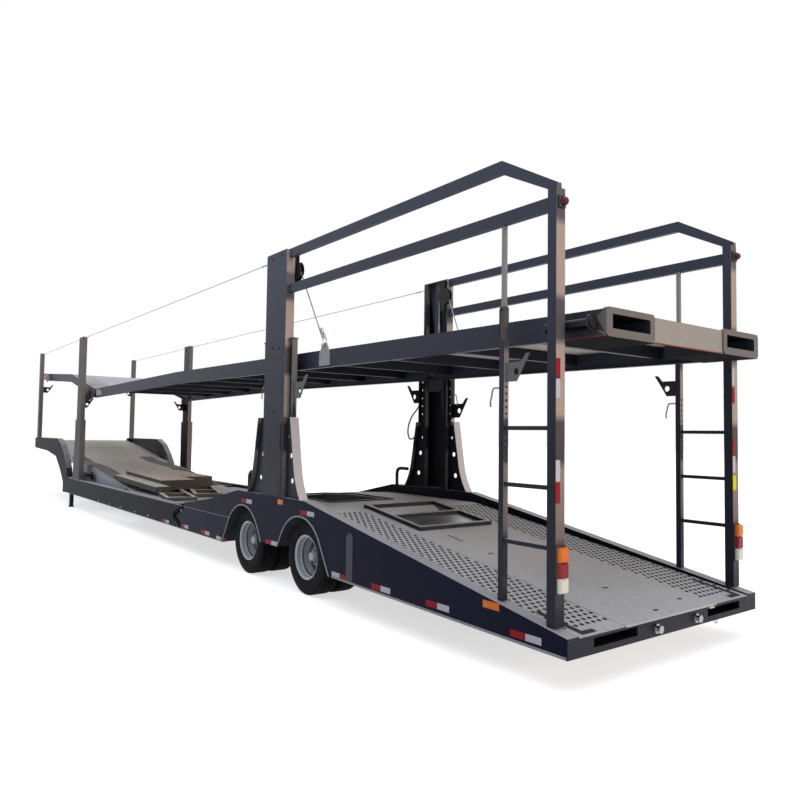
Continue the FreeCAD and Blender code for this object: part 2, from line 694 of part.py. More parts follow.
# ------------------------------------------------------------------ running gear
def wheels():
    """Twin wheels: two tyres on two rims that share one hub, one body at each axle end."""
    for end, axle in (("front", front_axle), ("rear", s.rear_axle)):
        for text, side in SIDES:
            name = "%s%s" % (end.title(), text.title())
            tyres, rims = [], []
            for index in range(2):
                outer = s.wheel_face - index * s.twin_spacing
                low, high = across(side, outer - s.tyre_width, outer)
                tyres.append(tyre("%sTyre%d" % (name, index), axle, low, high))
                rims.append(rim("%sRim%d" % (name, index), axle, low, high, side, index))
            node("tyres_%s_%s" % (end, text), loose(name + "Tyres", tyres))
            node("rims_%s_%s" % (end, text), fused(name + "Rims", rims + [hub(name + "Hub", axle, side)]))


def turned(name, axle, rows):
    """A ring turned about an axle: rows of (radius, Y)."""
    body = doc.addObject("PartDesign::Body", name)
    outline = sketch(body, name, "YZ", axle, [(y, s.tyre_radius + radius) for radius, y in rows])
    reach = 2000
    height = amount(s.tyre_radius)
    line = outline.addGeometry(Part.LineSegment(Vector(-reach, height), Vector(reach, height)), True)
    for point, place in ((1, -reach), (2, reach)):
        outline.addConstraint(Sketcher.Constraint("DistanceX", -1, 1, line, point, place))
        measure(outline, s.tyre_radius, "DistanceY", -1, 1, line, point)
    spin = body.newObject("PartDesign::Revolution", name + "Spin")
    spin.Profile = outline
    spin.ReferenceAxis = (outline, ["Axis0"])
    spin.Angle = 360
    return body


def tyre(name, axle, low, high):
    crown, shoulder, seat, edge = s.tyre_radius, s.tyre_radius - 22, s.rim_radius + 0.4, s.rim_flange
    return turned(name, axle, [
        (seat, low + 29), (edge, low + 21), (edge + 14, low + 9), (edge + 60, low), (shoulder - 25, low + 4),
        (shoulder, low + 18), (crown, low + 42), (crown, high - 42), (shoulder, high - 18),
        (shoulder - 25, high - 4), (edge + 60, high), (edge + 14, high - 9), (edge, high - 21),
        (seat, high - 29)])


def rim(name, axle, low, high, side, index):
    """Rim barrel with flanges, a drop centre and a disc near one edge."""
    outward = 1 if side == LEFT else -1
    outer, inner = (high, low) if side == LEFT else (low, high)
    disc = (outer - outward * s.disc_offset) if index == 0 else (outer - outward * 25)
    inside = s.rim_radius - s.rim_wall
    well = inside - s.rim_well
    barrel = [
        (s.rim_flange, outer - outward * 8), (s.rim_flange, outer - outward * 20),
        (s.rim_radius, outer - outward * 28), (s.rim_radius, inner + outward * 28),
        (s.rim_flange, inner + outward * 20), (s.rim_flange, inner + outward * 8),
        (inside, inner + outward * 20), (inside, disc - outward * 12),
        (s.hub_radius - 10, disc - outward * 12), (s.hub_radius - 10, disc)]
    # only the outer rim shows its drop centre
    dish = [(well, disc), (well, outer - outward * 95), (inside, outer - outward * 70)]
    if index:
        dish = [(inside, disc)]
    return turned(name, axle, barrel + dish + [(inside, outer - outward * 20)])


def hub(name, axle, side):
    """Hub that carries both discs, with its nut flange and a stepped cap."""
    outward = 1 if side == LEFT else -1
    inner = outward * (axle_end() + s.seat_gap)
    disc = outward * (s.wheel_face - s.disc_offset)
    return turned(name, axle, [
        (0, inner), (s.hub_radius, inner), (s.hub_radius, disc - outward * 6),
        (s.hub_flange, disc - outward * 6), (s.hub_flange, disc + outward * 14),
        (s.hub_cap + 14, disc + outward * 14), (s.hub_cap + 8, disc + outward * 40),
        (s.hub_cap, disc + outward * 44), (s.hub_cap - 8, disc + outward * 92),
        (s.hub_cap - 20, disc + outward * 102), (0, disc + outward * 102)])


def axle_end():
    """How far the axle tubes reach from the centre line."""
    return s.wheel_face - s.twin_spacing - s.tyre_width + 12


def axles():
    for end, axle in (("front", front_axle), ("rear", s.rear_axle)):
        name = end.title() + "Axle"
        reach = axle_end()
        tube = rod(name + "Tube", "Y", (axle, -reach, s.tyre_radius), s.axle_tube, reach * 2)
        pieces = [tube]
        for text, side in SIDES:
            low, high = across(side, reach - 130, reach - 20)
            pieces.append(rod(name + "Drum" + text.title(), "Y", (axle, low, s.tyre_radius),
                              s.drum_radius, high - low))
        node("axle_" + end, fused(name, pieces))


def suspension(label, side):
    """Leaf springs above the axles, hung from three brackets."""
    name = label.title().replace("_", "")
    track = across(side, s.spring_track - 45, s.spring_track + 45)
    pieces = []
    top = s.tyre_radius + s.axle_tube
    for index, axle in enumerate((s.rear_axle, front_axle)):
        pieces.append(prism("%sLeaf%d" % (name, index), "XZ", [
            (axle - 560, top + 95), (axle - 540, top + 60), (axle - 120, top + s.seat_gap),
            (axle + 120, top + s.seat_gap),
            (axle + 540, top + 60), (axle + 560, top + 95), (axle + 120, top + 50), (axle - 120, top + 50)],
            *track))
    hanger = across(side, s.spring_track * 2 - s.stringer_offset + s.seat_gap,
                    s.stringer_offset - s.seat_gap)
    middle = (s.rear_axle + front_axle) / 2
    for index, station in enumerate((s.rear_axle - 620, middle, front_axle + 620)):
        pieces.append(prism("%sHanger%d" % (name, index), "XZ", [
            (station - 150, s.hump_deck - 150), (station - 70, top + 40), (station + 70, top + 40),
            (station + 150, s.hump_deck - 150)], *hanger))
    line = part_of(DECK, s.rear_axle - 690, front_axle + 770)
    beam = prism(name + "Beam", "XZ", [(x, z - s.sheet - s.seat_gap) for x, z in line]
                 + [(line[-1][0], s.hump_deck - 151), (line[0][0], s.hump_deck - 151)], *hanger)
    node(label, fused(name, pieces + [beam]))


def landing_leg(label, side):
    name = label.title().replace("_", "")
    half = s.leg_size / 2
    y = (s.leg_offset * side - half, s.leg_offset * side + half)
    x = (s.leg_station - half, s.leg_station + half)
    tube = block(name + "Tube", x, y, (12, s.skirt_bottom))
    foot = block(name + "Foot", (x[0] - 15, x[1] + 15), (y[0] - 15, y[1] + 15),
                 (0, 14))
    node(label, fused(name, [tube, foot]))


def coupling():
    """Plate under the neck with the coupling pin."""
    half = s.stringer_offset + 60
    top = s.neck_under
    plate = block("CouplerPlate", (s.kingpin_station - 650, s.kingpin_station + 650), (-half, half),
                  (top - s.coupler_plate, top))
    under = top - s.coupler_plate
    tip = under - s.kingpin_length
    neck = rod("KingpinNeck", "Z", (s.kingpin_station, 0, tip), s.kingpin_radius, s.kingpin_length)
    collar = rod("KingpinCollar", "Z", (s.kingpin_station, 0, under - s.collar_length),
                 s.kingpin_collar, s.collar_length)
    head = rod("KingpinHead", "Z", (s.kingpin_station, 0, tip), s.kingpin_head, s.head_length)
    node("coupler_plate", fused("Coupler", [plate, neck, collar, head]))


# ------------------------------------------------------------------ columns, posts, rails
def foot_curve(edge, way):
    """Edge of a column foot from its top down: straight, then flared by an arc."""
    return [(edge + way * s.foot_ledge, s.foot_top),
            (edge + way * s.foot_knee, s.knee_height, way * s.foot_round),
            (edge + way * s.foot_spread, s.hump_top)]


def lock_rack(name, edge, way, y):
    """Upright angle on a column's edge, with a row of lock holes and a cap."""
    across_web = (y[0] + 24, y[1] - 24)
    tip = edge + way * s.rack_width
    web_x = (edge - 1, tip) if way > 0 else (tip, edge + 1)
    flange_x = (tip - 12, tip) if way > 0 else (tip, tip + 12)
    web = block(name + "Web", web_x, across_web, (s.foot_top, s.rack_top))
    flange = block(name + "Flange", flange_x, y, (s.foot_top - 40, s.rack_top))
    cap_x = (edge, tip + 15) if way > 0 else (tip - 15, edge)
    cap = block(name + "Cap", cap_x, (y[0] - 4, y[1] + 6), (s.rack_top - 1, s.rack_top + 12))
    lowest, count = s.foot_top + 110, 7
    pitch = (s.rack_top - 110 - lowest) / (count - 1)
    holes = [rod("%sHole%d" % (name, i), "Y", (edge + way * 48, across_web[0] - 5, lowest + i * pitch),
                 s.rack_hole, 22) for i in range(count)]
    return [cut(name, web, holes), flange, cap], across_web


def sheave(name, x, side, inner):
    """Hoist pulley between two cheeks, hung on a pin from the column's inner face."""
    height = s.column_top - s.sheave_drop
    wheel = (inner - 24 - s.sheave_width, inner - 24)
    pieces = [rod(name + "Wheel", "Y", (x, across(side, *wheel)[0], height), s.sheave_radius, s.sheave_width)]
    for index, start in enumerate((wheel[0] - 9, wheel[1] + 1)):
        low, high = across(side, start, start + 8)
        pieces.append(rod("%sCheek%d" % (name, index), "Y", (x, low, height), s.sheave_radius - 20, 8))
        pieces.append(block("%sArm%d" % (name, index), (x - 32, x + 32), (low, high),
                            (height - 190, s.column_top - 20)))
    low, high = across(side, wheel[0] - 9, inner + 2)
    pieces.append(rod(name + "Pin", "Y", (x, low, height), 14, high - low))
    pieces.append(block(name + "Bridge", (x - 32, x + 32), (low, high),
                        (s.column_top - 32, s.column_top - 20)))
    return pieces


# which edges of a column carry a support bracket, and how high: -1 is the rear edge
COLUMN_HORNS = {LEFT: ((-1, s.left_horn),), RIGHT: ((-1, s.right_horn), (1, s.ahead_horn))}


def main_column(label, side):
    """Channel column, open inboard, on a flared foot, with lock racks, a hoist pulley and its ram."""
    name = label.title().replace("_", "")
    rear, front = s.column_rear, s.column_rear + s.column_length
    inner, wall = s.half_width - s.column_depth, s.column_wall
    box = block(name + "Box", (rear, front), across(side, inner, s.half_width), (s.hump_top, s.column_top))
    levels = (s.hump_top + wall, s.column_top - wall)
    channel = block(name + "Channel", (rear + wall, front - wall),
                    across(side, inner + wall, s.half_width - wall), levels)
    mouth = block(name + "Mouth", (rear + wall + s.column_lip, front - wall - s.column_lip),
                  across(side, inner - 5, inner + wall + 1), levels)
    pieces = [cut(name + "Hollow", box, [channel, mouth])]
    middle = s.half_width - s.column_depth / 2
    plate = across(side, middle - wall / 2, middle + wall / 2)
    flange = across(side, inner, s.half_width)
    rack_y = across(side, inner, inner + s.rack_depth)
    holes = []
    for index, (edge, way) in enumerate(((rear, -1), (front, 1))):
        curve = foot_curve(edge, way)
        web = prism("%sGusset%d" % (name, index), "XZ",
                    [(edge, s.hump_top), (edge, s.foot_top)] + curve, *plate)
        for level, (offset, drop, radius) in enumerate(((65, 210, 20), (105, 425, 30), (140, 700, 30))):
            holes.append(rod("%sHole%d%d" % (name, index, level), "Y",
                             (edge + way * offset, plate[0] - 5, s.foot_top - drop), radius, 22))
        top, knee, low = curve
        back = [(low[0] - way * s.web, low[1], -knee[2]), (knee[0] - way * s.web, knee[1]),
                (top[0] - way * s.web, top[1])]
        lip = prism("%sLip%d" % (name, index), "XZ", curve + back, *flange)
        rack, rack_web = lock_rack("%sRack%d" % (name, index), edge, way, rack_y)
        shelf_x = (edge, edge + way * s.foot_ledge) if way > 0 else (edge - s.foot_ledge, edge)
        shelf = block("%sShelf%d" % (name, index), shelf_x, flange, (s.foot_top - s.web, s.foot_top))
        pieces += [web, lip, shelf] + rack
        for horn_way, height in COLUMN_HORNS[side]:
            if horn_way == way:
                pieces.append(horn("%sHorn%d" % (name, index), "XZ", edge + way * s.rack_width, way,
                                   height, rack_web))
    pieces += sheave(name + "Sheave", rear + 36, side, inner)
    pieces.append(rod(name + "Ram", "Z", ((rear + front) / 2, middle * side, s.ram_bottom),
                      s.ram_radius, s.column_top - wall + 1 - s.ram_bottom))
    whole = fused(name + "Whole", pieces)
    node(label, cut(name, whole, holes))


def carriage(label, side):
    """Block that slides in the column's channel and carries the upper deck on a pin."""
    name = label.title().replace("_", "")
    wall, running = s.column_wall, 0.4
    rear = s.column_rear + wall + running
    front = s.column_rear + s.column_length - wall - running
    inner, outer = s.half_width - s.column_depth + wall + 8, s.half_width - wall - 8
    slider = block(name + "Block", (rear, front), across(side, inner, outer),
                   (s.hinge_height - s.block_half, s.hinge_height + s.block_half))
    low, high = across(side, s.deck_half - 40, inner + 1)
    pin = rod(name + "Pin", "Y", ((rear + front) / 2, low, s.hinge_height), s.carriage_pin, high - low)
    node(label, fused(name, [slider, pin]))


def guard_rail(label, side):
    """Top rail with a bent rear end, and a middle rail, between column and rear post."""
    name = label.title().replace("_", "")
    outer = s.post_outer - 5
    y = across(side, outer - s.rail_thick, outer)
    back = s.rear_post + s.post_length
    peak = s.thin_post + 22
    upper = prism(name + "Top", "XZ", [
        (s.rear_post, s.post_top + s.seat_gap), (s.rear_post, s.post_top + 35), (peak, s.column_top),
        (s.column_rear - s.seat_gap, s.column_top),
        (s.column_rear - s.seat_gap, s.column_top - s.rail_depth),
        (peak + 20, s.column_top - s.rail_depth), (back, s.post_top + s.seat_gap)], *y)
    middle = block(name + "Middle", (back + s.seat_gap, s.column_rear - s.seat_gap), y,
                   (s.mid_rail - s.rail_depth, s.mid_rail))
    node(label, loose(name, [upper, middle]))


def rear_ladder(label, side):
    """Rear post, thin post and three rungs."""
    name = label.title().replace("_", "")
    y = across(side, s.post_outer - s.post_width, s.post_outer)
    base = height_at(BEAM_TOP, s.rear_post + s.post_length)
    post = block(name + "Post", (s.rear_post, s.rear_post + s.post_length), y, (base, s.post_top))
    thin_y = across(side, s.post_outer - 70, s.post_outer - 20)
    thin_x = (s.thin_post, s.thin_post + s.thin_size)
    thin_base = height_at(BEAM_TOP, s.thin_post + s.thin_size)
    sleeve = block(name + "Sleeve", thin_x, thin_y, (thin_base, s.sleeve_top))
    middle = (s.post_outer - 45) * side
    tube = rod(name + "Tube", "Z", (s.thin_post + s.thin_size / 2, middle, s.sleeve_top - 1), s.tube_radius,
               s.mid_rail - s.rail_depth - s.seat_gap - s.sleeve_top + 1)
    pieces = [post, sleeve, tube]
    for index in range(3):
        height = s.first_rung + index * s.rung_pitch
        pieces.append(block("%sRung%d" % (name, index), (s.rear_post + s.post_length - 1, s.thin_post + 1),
                            across(side, s.post_outer - 62, s.post_outer - 28), (height - 15, height + 15)))
    # the left bracket points back, and the right one ahead
    edge, way = (s.thin_post, -1) if side == LEFT else (s.thin_post + s.thin_size, 1)
    pieces.append(horn(name + "Horn", "XZ", edge, way, s.thin_horn,
                       across(side, s.post_outer - 51, s.post_outer - 51 + s.horn_plate), 0.8))
    node(label, fused(name, pieces))


def horn(name, plane, edge, way, height, sheet, size=1):
    """Support bracket with a hole and an upturned tip, on the edge of a post."""
    outline = ((-1, -90), (130, -90), (205, 30), (290, 160), (250, 160), (190, 90), (-1, 90))
    plate = prism(name + "Plate", plane, [(edge + way * reach * size, height + rise * size)
                                          for reach, rise in outline], *sheet)
    bore, low = edge + way * 125 * size, sheet[0] - 5
    axis, start = ("Y", (bore, low, height)) if plane == "XZ" else ("X", (low, bore, height))
    return cut(name, plate, [rod(name + "Hole", axis, start, 34 * size, sheet[1] - sheet[0] + 10)])


def second_post(label, side):
    """Mast in a housing with a tapered fin, on the well beam."""
    name = label.title().replace("_", "")
    outer = s.half_width - s.web
    mast_y = across(side, outer - s.mast_width - 12, outer - 12)
    housing_y = across(side, outer - s.mast_width - 24, outer)
    rear, front = s.second_post, s.second_post + s.mast_length
    base = s.well_top
    mast = block(name + "Mast", (rear, front), mast_y, (s.housing_top - 1, s.mast_top))
    housing = block(name + "Housing", (rear - 50, front + 50), housing_y, (base, s.housing_top))
    middle = s.half_width - 40
    fin = prism(name + "Fin", "XZ", [
        (front + 49, base), (front + 250, base), (front + 90, s.housing_top - 200),
        (front + 70, s.housing_top), (front + 49, s.housing_top)], *across(side, middle, middle + 12))
    bracket = horn(name + "Horn", "YZ", (outer - s.mast_width - 12) * side, -side, s.second_horn,
                   (front - 60, front - 60 + s.horn_plate), 0.85)
    # arms from the mast to the deck: a hinge lug with its pin, and a seat for the fixed front deck
    arm_y = across(side, s.deck_half + 12, s.deck_half + 37)
    lug = prism(name + "Lug", "XZ", [
        (s.deck_hinge - 60, s.hinge_height - 60), (rear + 200, s.hinge_height - 160),
        (rear + 200, s.hinge_height + 120), (s.deck_hinge - 60, s.hinge_height + 60)], *arm_y)
    bridge = block(name + "Bridge", (rear + 10, rear + 190), across(side, s.deck_half + 36, outer - 50),
                   (s.hinge_height - 140, s.hinge_height + 100))
    low, high = across(side, s.deck_half - 40, s.deck_half + 30)
    pin = rod(name + "Pin", "Y", (s.deck_hinge, low, s.hinge_height), s.hinge_pin, high - low)
    seat = block(name + "Seat", (rear + 40, rear + 180),
                 across(side, s.deck_half + s.seat_gap, s.deck_half + 13),
                 (s.hinge_height + 20, s.hinge_height + 100))
    node(label, fused(name, [mast, housing, fin, bracket, lug, bridge, pin, seat]))


def front_post(label, side):
    name = label.title().replace("_", "")
    outer = s.half_width - 12
    y = across(side, outer - s.front_width, outer)
    post = block(name + "Tube", (s.front_post, s.front_post + s.front_length), y, (s.neck_top, s.mast_top))
    bracket = horn(name + "Horn", "YZ", (outer - s.front_width) * side, -side, s.front_horn,
                   (s.front_post + 20, s.front_post + 20 + s.horn_plate), 0.85)
    node(label, fused(name, [post, bracket]))


def guard_wire(label, side):
    """Taut wires between column, second post and front post."""
    name = label.title().replace("_", "")
    y = (s.half_width - 12 - s.mast_width / 2) * side
    stretches = (
        (s.column_rear + s.column_length, s.second_post),
        (s.second_post + s.mast_length, s.front_post),
    )
    wires = [rod("%s%d" % (name, i), "X", (a, y, s.wire_height), s.wire_radius, b - a)
             for i, (a, b) in enumerate(stretches)]
    node(label, loose(name, wires))


# ------------------------------------------------------------------ upper deck
def channel_beam(name, line, side):
    """Channel that follows a broken line, web outboard."""
    web = strip(name + "Web", line, s.beam_depth, *across(side, s.deck_half - s.beam_wall, s.deck_half))
    inner = across(side, s.deck_half - s.beam_flange, s.deck_half - s.beam_wall + 1)
    upper = strip(name + "Upper", line, s.beam_wall, *inner)
    below = [(x, z - s.beam_depth + s.beam_wall) for x, z in line]
    lower = strip(name + "Lower", below, s.beam_wall, *inner)
    return fused(name, [web, upper, lower])


def deck_brackets(name, plate):
    """Hoist eye and front lock bracket on the outside of an upper deck beam."""
    top = height_at(UPPER_TOP, s.hoist_eye)
    eye = prism(name + "HoistPlate", "XZ", [
        (s.hoist_eye - 105, top - 170), (s.hoist_eye + 105, top - 170), (s.hoist_eye + 105, top - 40),
        (s.hoist_eye + 32, top + 75), (s.hoist_eye - 32, top + 75), (s.hoist_eye - 105, top - 40)], *plate)
    hole = rod(name + "HoistHole", "Y", (s.hoist_eye, plate[0] - 5, top + 45), 16, 25)
    front = s.deck_hinge - 130
    level = height_at(UPPER_TOP, front)
    lock = prism(name + "LockPlate", "XZ", [
        (front - 420, level - 150), (front - 60, level - 150), (front, level - 105), (front, level - 25),
        (front - 300, level - 25), (front - 330, level - 75), (front - 420, level - 75)], *plate)
    return [cut(name + "HoistEye", eye, [hole]), lock]


def upper_deck():
    main = part_of(UPPER_TOP, s.box_length - s.deck_overhang, s.deck_hinge + s.hinge_reach)
    carriage_x = s.column_rear + s.column_length / 2
    for text, side in SIDES:
        name = "UpperBeam" + text.title()
        plate = across(side, s.deck_half - 1, s.deck_half + 14)
        beam = fused(name + "Whole", [channel_beam(name, main, side)] + deck_brackets(name, plate))
        low, high = across(side, s.deck_half - s.beam_wall - 5, s.deck_half + 5)
        eye = rod(name + "Eye", "Y", (s.deck_hinge, low, s.hinge_height), s.hinge_pin + 0.5, high - low)
        play = s.carriage_pin + 4
        slot = block(name + "Slot", (carriage_x - play - s.slot_travel, carriage_x + play + 4), (low, high),
                     (s.hinge_height - play, s.hinge_height + play))
        node("upper_beam_" + text, cut(name + "Bored", beam, [eye, slot]))
    edge = s.deck_half - s.beam_wall - s.seat_gap
    flat = [(x, z - s.beam_wall - s.seat_gap) for x, z in main]
    node("upper_deck_plate", strip("UpperDeckPlate", flat, s.sheet, -edge, edge))
    beams = []
    for index in range(int(amount(s.member_count))):
        station = s.box_length + 250 + index * s.member_pitch
        under = height_at(UPPER_TOP, station) - s.beam_wall - s.sheet - 2
        ahead = height_at(UPPER_TOP, station + 60) - s.beam_wall - s.sheet - 2
        beams.append(prism("UpperMember%d" % index, "XZ", [
            (station, under - 110), (station + 60, ahead - 110), (station + 60, ahead), (station, under)],
            -edge, edge))
    node("upper_cross_members", loose("UpperMembers", beams))
    upper_rear_box()


def rounded(name, y, z, radius, low, high):
    """A block along X with rounded edges, between pairs of widths y and heights z."""
    (left, right), (down, up) = y, z
    return prism(name, "YZ", [
        (left + radius, down), (right - radius, down, radius), (right, down + radius),
        (right, up - radius, radius), (right - radius, up), (left + radius, up, radius),
        (left, up - radius), (left, down + radius, radius)], low, high)


def upper_rear_box():
    """Closed rear end of the upper deck: two framed ramp slots, a recessed plate and two lock tubes."""
    end = s.box_length - s.deck_overhang - s.seat_gap
    face = s.frame_stand - s.deck_overhang
    line = part_of(UPPER_TOP, face, end)
    whole = strip("RearBoxWhole", line, s.beam_depth, -s.deck_half, s.deck_half)
    slot_top = s.deck_rear - 30
    slot_z = (slot_top - s.slot_height, slot_top)
    frames, slots, tubes = [], [], []
    frame_z = (s.deck_rear - s.beam_depth, s.deck_rear + s.frame_rise)
    level = s.deck_rear - s.beam_depth / 2
    for text, side in SIDES:
        reach = s.slot_width / 2
        slot = across(side, s.slot_centre - reach, s.slot_centre + reach)
        frame_y = across(side, s.slot_centre - reach - s.slot_frame, s.deck_half)
        name = "Lock" + text.title()
        frames.append(rounded("SlotFrame" + text.title(), frame_y, frame_z, s.frame_round,
                              -s.deck_overhang, face + 20))
        slots.append(block("UpperSlot" + text.title(), (-s.deck_overhang - 5, end + 5), slot, slot_z))
        middle = (s.deck_half + 40) * side
        back = 75 - s.deck_overhang
        tubes.append(rod(name + "Tube", "X", (back, middle, level), s.lock_radius, s.lock_length))
        tubes.append(rod(name + "Flange", "X", (back + 11, middle, level), s.lock_flange, 14))
        for index, start in enumerate((back + 15, back + s.lock_length - 80)):
            tubes.append(block("%sEar%d" % (name, index), (start, start + 30),
                               across(side, s.deck_half - 1, s.deck_half + 40), (level - 20, level + 20)))
    recess = block("RearBoxMiddle", (face + 10, end + 5), (-s.plate_half, s.plate_half),
                   (s.deck_rear - s.beam_depth - 5, slot_top))
    node("upper_rear_box", cut("UpperRearBox", fused("RearBoxFramed", [whole] + frames + tubes),
                               slots + [recess]))


def front_deck():
    """Fixed front section of the upper deck: frame and plate."""
    line = part_of(FRONT_TOP, FRONT_TOP[0][0], s.front_post - s.seat_gap)
    edge = s.deck_half - s.beam_wall - s.seat_gap
    for text, side in SIDES:
        name = "FrontBeam" + text.title()
        level = s.front_deck_top
        hook = prism(name + "Hook", "YZ", [
            ((s.deck_half + out) * side, level + up) for out, up in
            ((90, -175), (45, -227), (-10, -180), (-147, -180), (-147, -45), (25, -45))],
            s.front_post - 70, s.front_post - 70 + s.horn_plate)
        node("front_beam_" + text, fused(name + "Hooked", [channel_beam(name, line, side), hook]))
    flat = [(x, z - s.beam_wall - s.seat_gap) for x, z in line]
    node("front_deck_plate", strip("FrontDeckPlate", flat, s.sheet, -edge, edge))
    reach = s.half_width - 12 - s.front_width - s.seat_gap
    section = [(s.front_post, s.front_deck_top - 165), (s.front_post + 90, s.front_deck_top - 165),
               (s.front_post + 90, s.front_deck_top), (s.front_post, s.front_deck_top)]
    node("front_cross_beam", prism("FrontCrossBeam", "XZ", section, -reach, reach))


def winch():
    """Hand winch on the left well beam, in the open corner beside the slope."""
    start, end = s.second_post - 420, s.second_post - 90
    base_top = s.well_top + 10
    outer, inner = s.half_width - 50, s.slope_half + 50
    base = block("WinchBase", (start, end), (inner, outer), (s.well_top + s.seat_gap, base_top))
    centre = (start + end) / 2
    level = base_top + 105
    pieces = [base]
    for index, y in enumerate((inner + 4, outer - 52)):
        pieces.append(prism("WinchCheek%d" % index, "XZ", [
            (start + 20, base_top - 1), (end - 20, base_top - 1), (centre + 70, level + 65),
            (centre - 70, level + 65)], y, y + 8))
    pieces.append(rod("WinchDrum", "Y", (centre, inner + 5, level), 42, outer - inner - 58))
    pieces.append(rod("WinchRatchet", "Y", (centre, outer - 43, level), 72, 10))
    pieces.append(rod("WinchShaft", "Y", (centre, inner + 5, level), 15, outer - inner - 10))
    node("winch", fused("Winch", pieces))


def open_frame(name, x, y, length, width, angle):
    """Flat ramp frame with two windows, turned about its rear end on the well floor."""
    depth, bar = 60, s.stow_bar
    solid = block(name + "Solid", (0, length), (-width / 2, width / 2), (0, depth))
    middle = length / 2
    windows = [block("%sWindow%d" % (name, i), (a, b), (bar - width / 2, width / 2 - bar),
                     (-5, depth + 5))
               for i, (a, b) in enumerate(((bar, middle - bar / 2), (middle + bar / 2, length - bar)))]
    turn = Rotation(Vector(0, 0, 1), angle)
    return put(cut(name, solid, windows), x, y, s.well_floor + s.seat_gap, turn)


def ramp_board(name, rear, front, y, rear_depth, front_depth):
    """Ramp with a plated top and side rails, from the frames it lies on to the slope ahead."""
    low = (s.well_floor + 60 + s.seat_gap * 2, height_at(DECK, front) + s.seat_gap)
    outline = [(rear, low[0]), (front, low[1]), (front, low[1] + front_depth), (rear, low[0] + rear_depth)]
    solid = prism(name + "Solid", "XZ", outline, *y)
    hollow = prism(name + "Hollow", "XZ", [
        (rear + 25, low[0] - 5), (front - 25, low[1] - 5), (front - 25, low[1] + front_depth - 10),
        (rear + 25, low[0] + rear_depth - 10)], y[0] + 25, y[1] - 25)
    return cut(name, solid, [hollow])


def stowed_ramps():
    """Loading ramps that lie loose in the well: two open frames with three boards on them."""
    rear = s.stow_rear
    frames = [
        open_frame("StowedFrame0", rear + 50, 850, 1800, s.stow_width, -12),
        open_frame("StowedFrame1", rear + 500, 220, 1850, s.stow_width, -17),
    ]
    rows = (
        # rear end, front end, inner and outer edge, depth at the rear and at the front
        (rear + 1110, rear + 3620, (670, 930), 95, 95),
        (rear + 1600, rear + 3700, (30, 665), 170, 150),
        (rear + 2150, rear + 4120, (-520, 0), 190, 80),
    )
    boards = []
    for index, (start, end, edges, rear_depth, front_depth) in enumerate(rows):
        boards.append(ramp_board("StowedBoard%d" % index, start, end, edges, rear_depth, front_depth))
    node("stowed_ramps", loose("StowedRamps", frames + boards))


for text, side in SIDES:
    rear_side_beam("rear_side_beam_" + text, side)
    well_side_beam("well_side_beam_" + text, side)
    neck_beam("neck_beam_" + text, side)
    suspension("suspension_" + text, side)
    landing_leg("landing_leg_" + text, side)
    main_column("main_column_" + text, side)
    carriage("carriage_" + text, side)
    guard_rail("guard_rail_" + text, side)
    rear_ladder("rear_ladder_" + text, side)
    second_post("second_post_" + text, side)
    front_post("front_post_" + text, side)
    guard_wire("guard_wire_" + text, side)
rear_beam()
deck_plates()
hatch_frame()
stringers()
cross_members()
wheels()
axles()
coupling()
upper_deck()
front_deck()
winch()
stowed_ramps()
doc.recompute()

# ------------------------------------------------------------------ checks and files
for thing in doc.Objects:
    if "Invalid" in thing.State or "Error" in thing.State:
        raise RuntimeError("%s failed: %s" % (thing.Name, thing.State))
for thing in nodes:
    if thing.Shape.isNull() or not thing.Shape.isValid():
        raise RuntimeError("%s has no valid shape" % thing.Label)

os.makedirs("parts", exist_ok=True)
for thing in nodes:
    thing.Shape.exportStep("parts/%s.step" % thing.Label)
    print("%-24s %2d solids %9.4f m3" % (thing.Label, len(thing.Shape.Solids), thing.Shape.Volume / 1e9))
print(len(nodes), "nodes")
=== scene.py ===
# %% [markdown]
# # A car-carrier semi-trailer, dressed for its portrait
#
# The frame arrives as exact CAD: beams, decks, posts, wheels and the hinged upper deck, already
# grouped into the bodies that move. This notebook gives those parts their finishes and adds what a
# fabricator bolts, welds, sticks or hangs on afterwards: perforated wheel tracks, lamps, reflective
# tape, wheel nuts, hoist ropes and a hose. Places are stations along the frame, measured from its rear
# beam, or they are read from its parts: from their boxes, or by a ray that meets their sheet.

# %% Load the frame and keep its size
import json
import math

import bmesh
import bpy
from mathutils import Matrix, Vector
from mathutils.bvhtree import BVHTree


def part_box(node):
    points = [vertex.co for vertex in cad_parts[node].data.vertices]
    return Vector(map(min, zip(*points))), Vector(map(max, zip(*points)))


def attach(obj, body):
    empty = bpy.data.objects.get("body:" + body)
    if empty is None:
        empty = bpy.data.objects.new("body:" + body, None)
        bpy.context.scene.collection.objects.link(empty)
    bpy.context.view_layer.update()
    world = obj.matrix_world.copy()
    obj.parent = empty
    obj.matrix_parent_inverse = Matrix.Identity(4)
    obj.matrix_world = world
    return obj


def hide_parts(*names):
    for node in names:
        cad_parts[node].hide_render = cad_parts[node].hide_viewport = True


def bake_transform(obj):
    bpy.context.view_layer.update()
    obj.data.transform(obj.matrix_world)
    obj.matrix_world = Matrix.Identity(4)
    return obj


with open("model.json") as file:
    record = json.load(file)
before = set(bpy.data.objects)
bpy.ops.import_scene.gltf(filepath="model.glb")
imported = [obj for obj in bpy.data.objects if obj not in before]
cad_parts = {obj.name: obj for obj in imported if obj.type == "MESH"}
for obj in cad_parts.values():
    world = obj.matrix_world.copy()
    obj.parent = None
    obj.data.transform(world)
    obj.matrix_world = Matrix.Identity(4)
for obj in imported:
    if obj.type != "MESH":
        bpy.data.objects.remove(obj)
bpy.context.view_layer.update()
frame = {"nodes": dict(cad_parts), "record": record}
nodes = frame["nodes"]

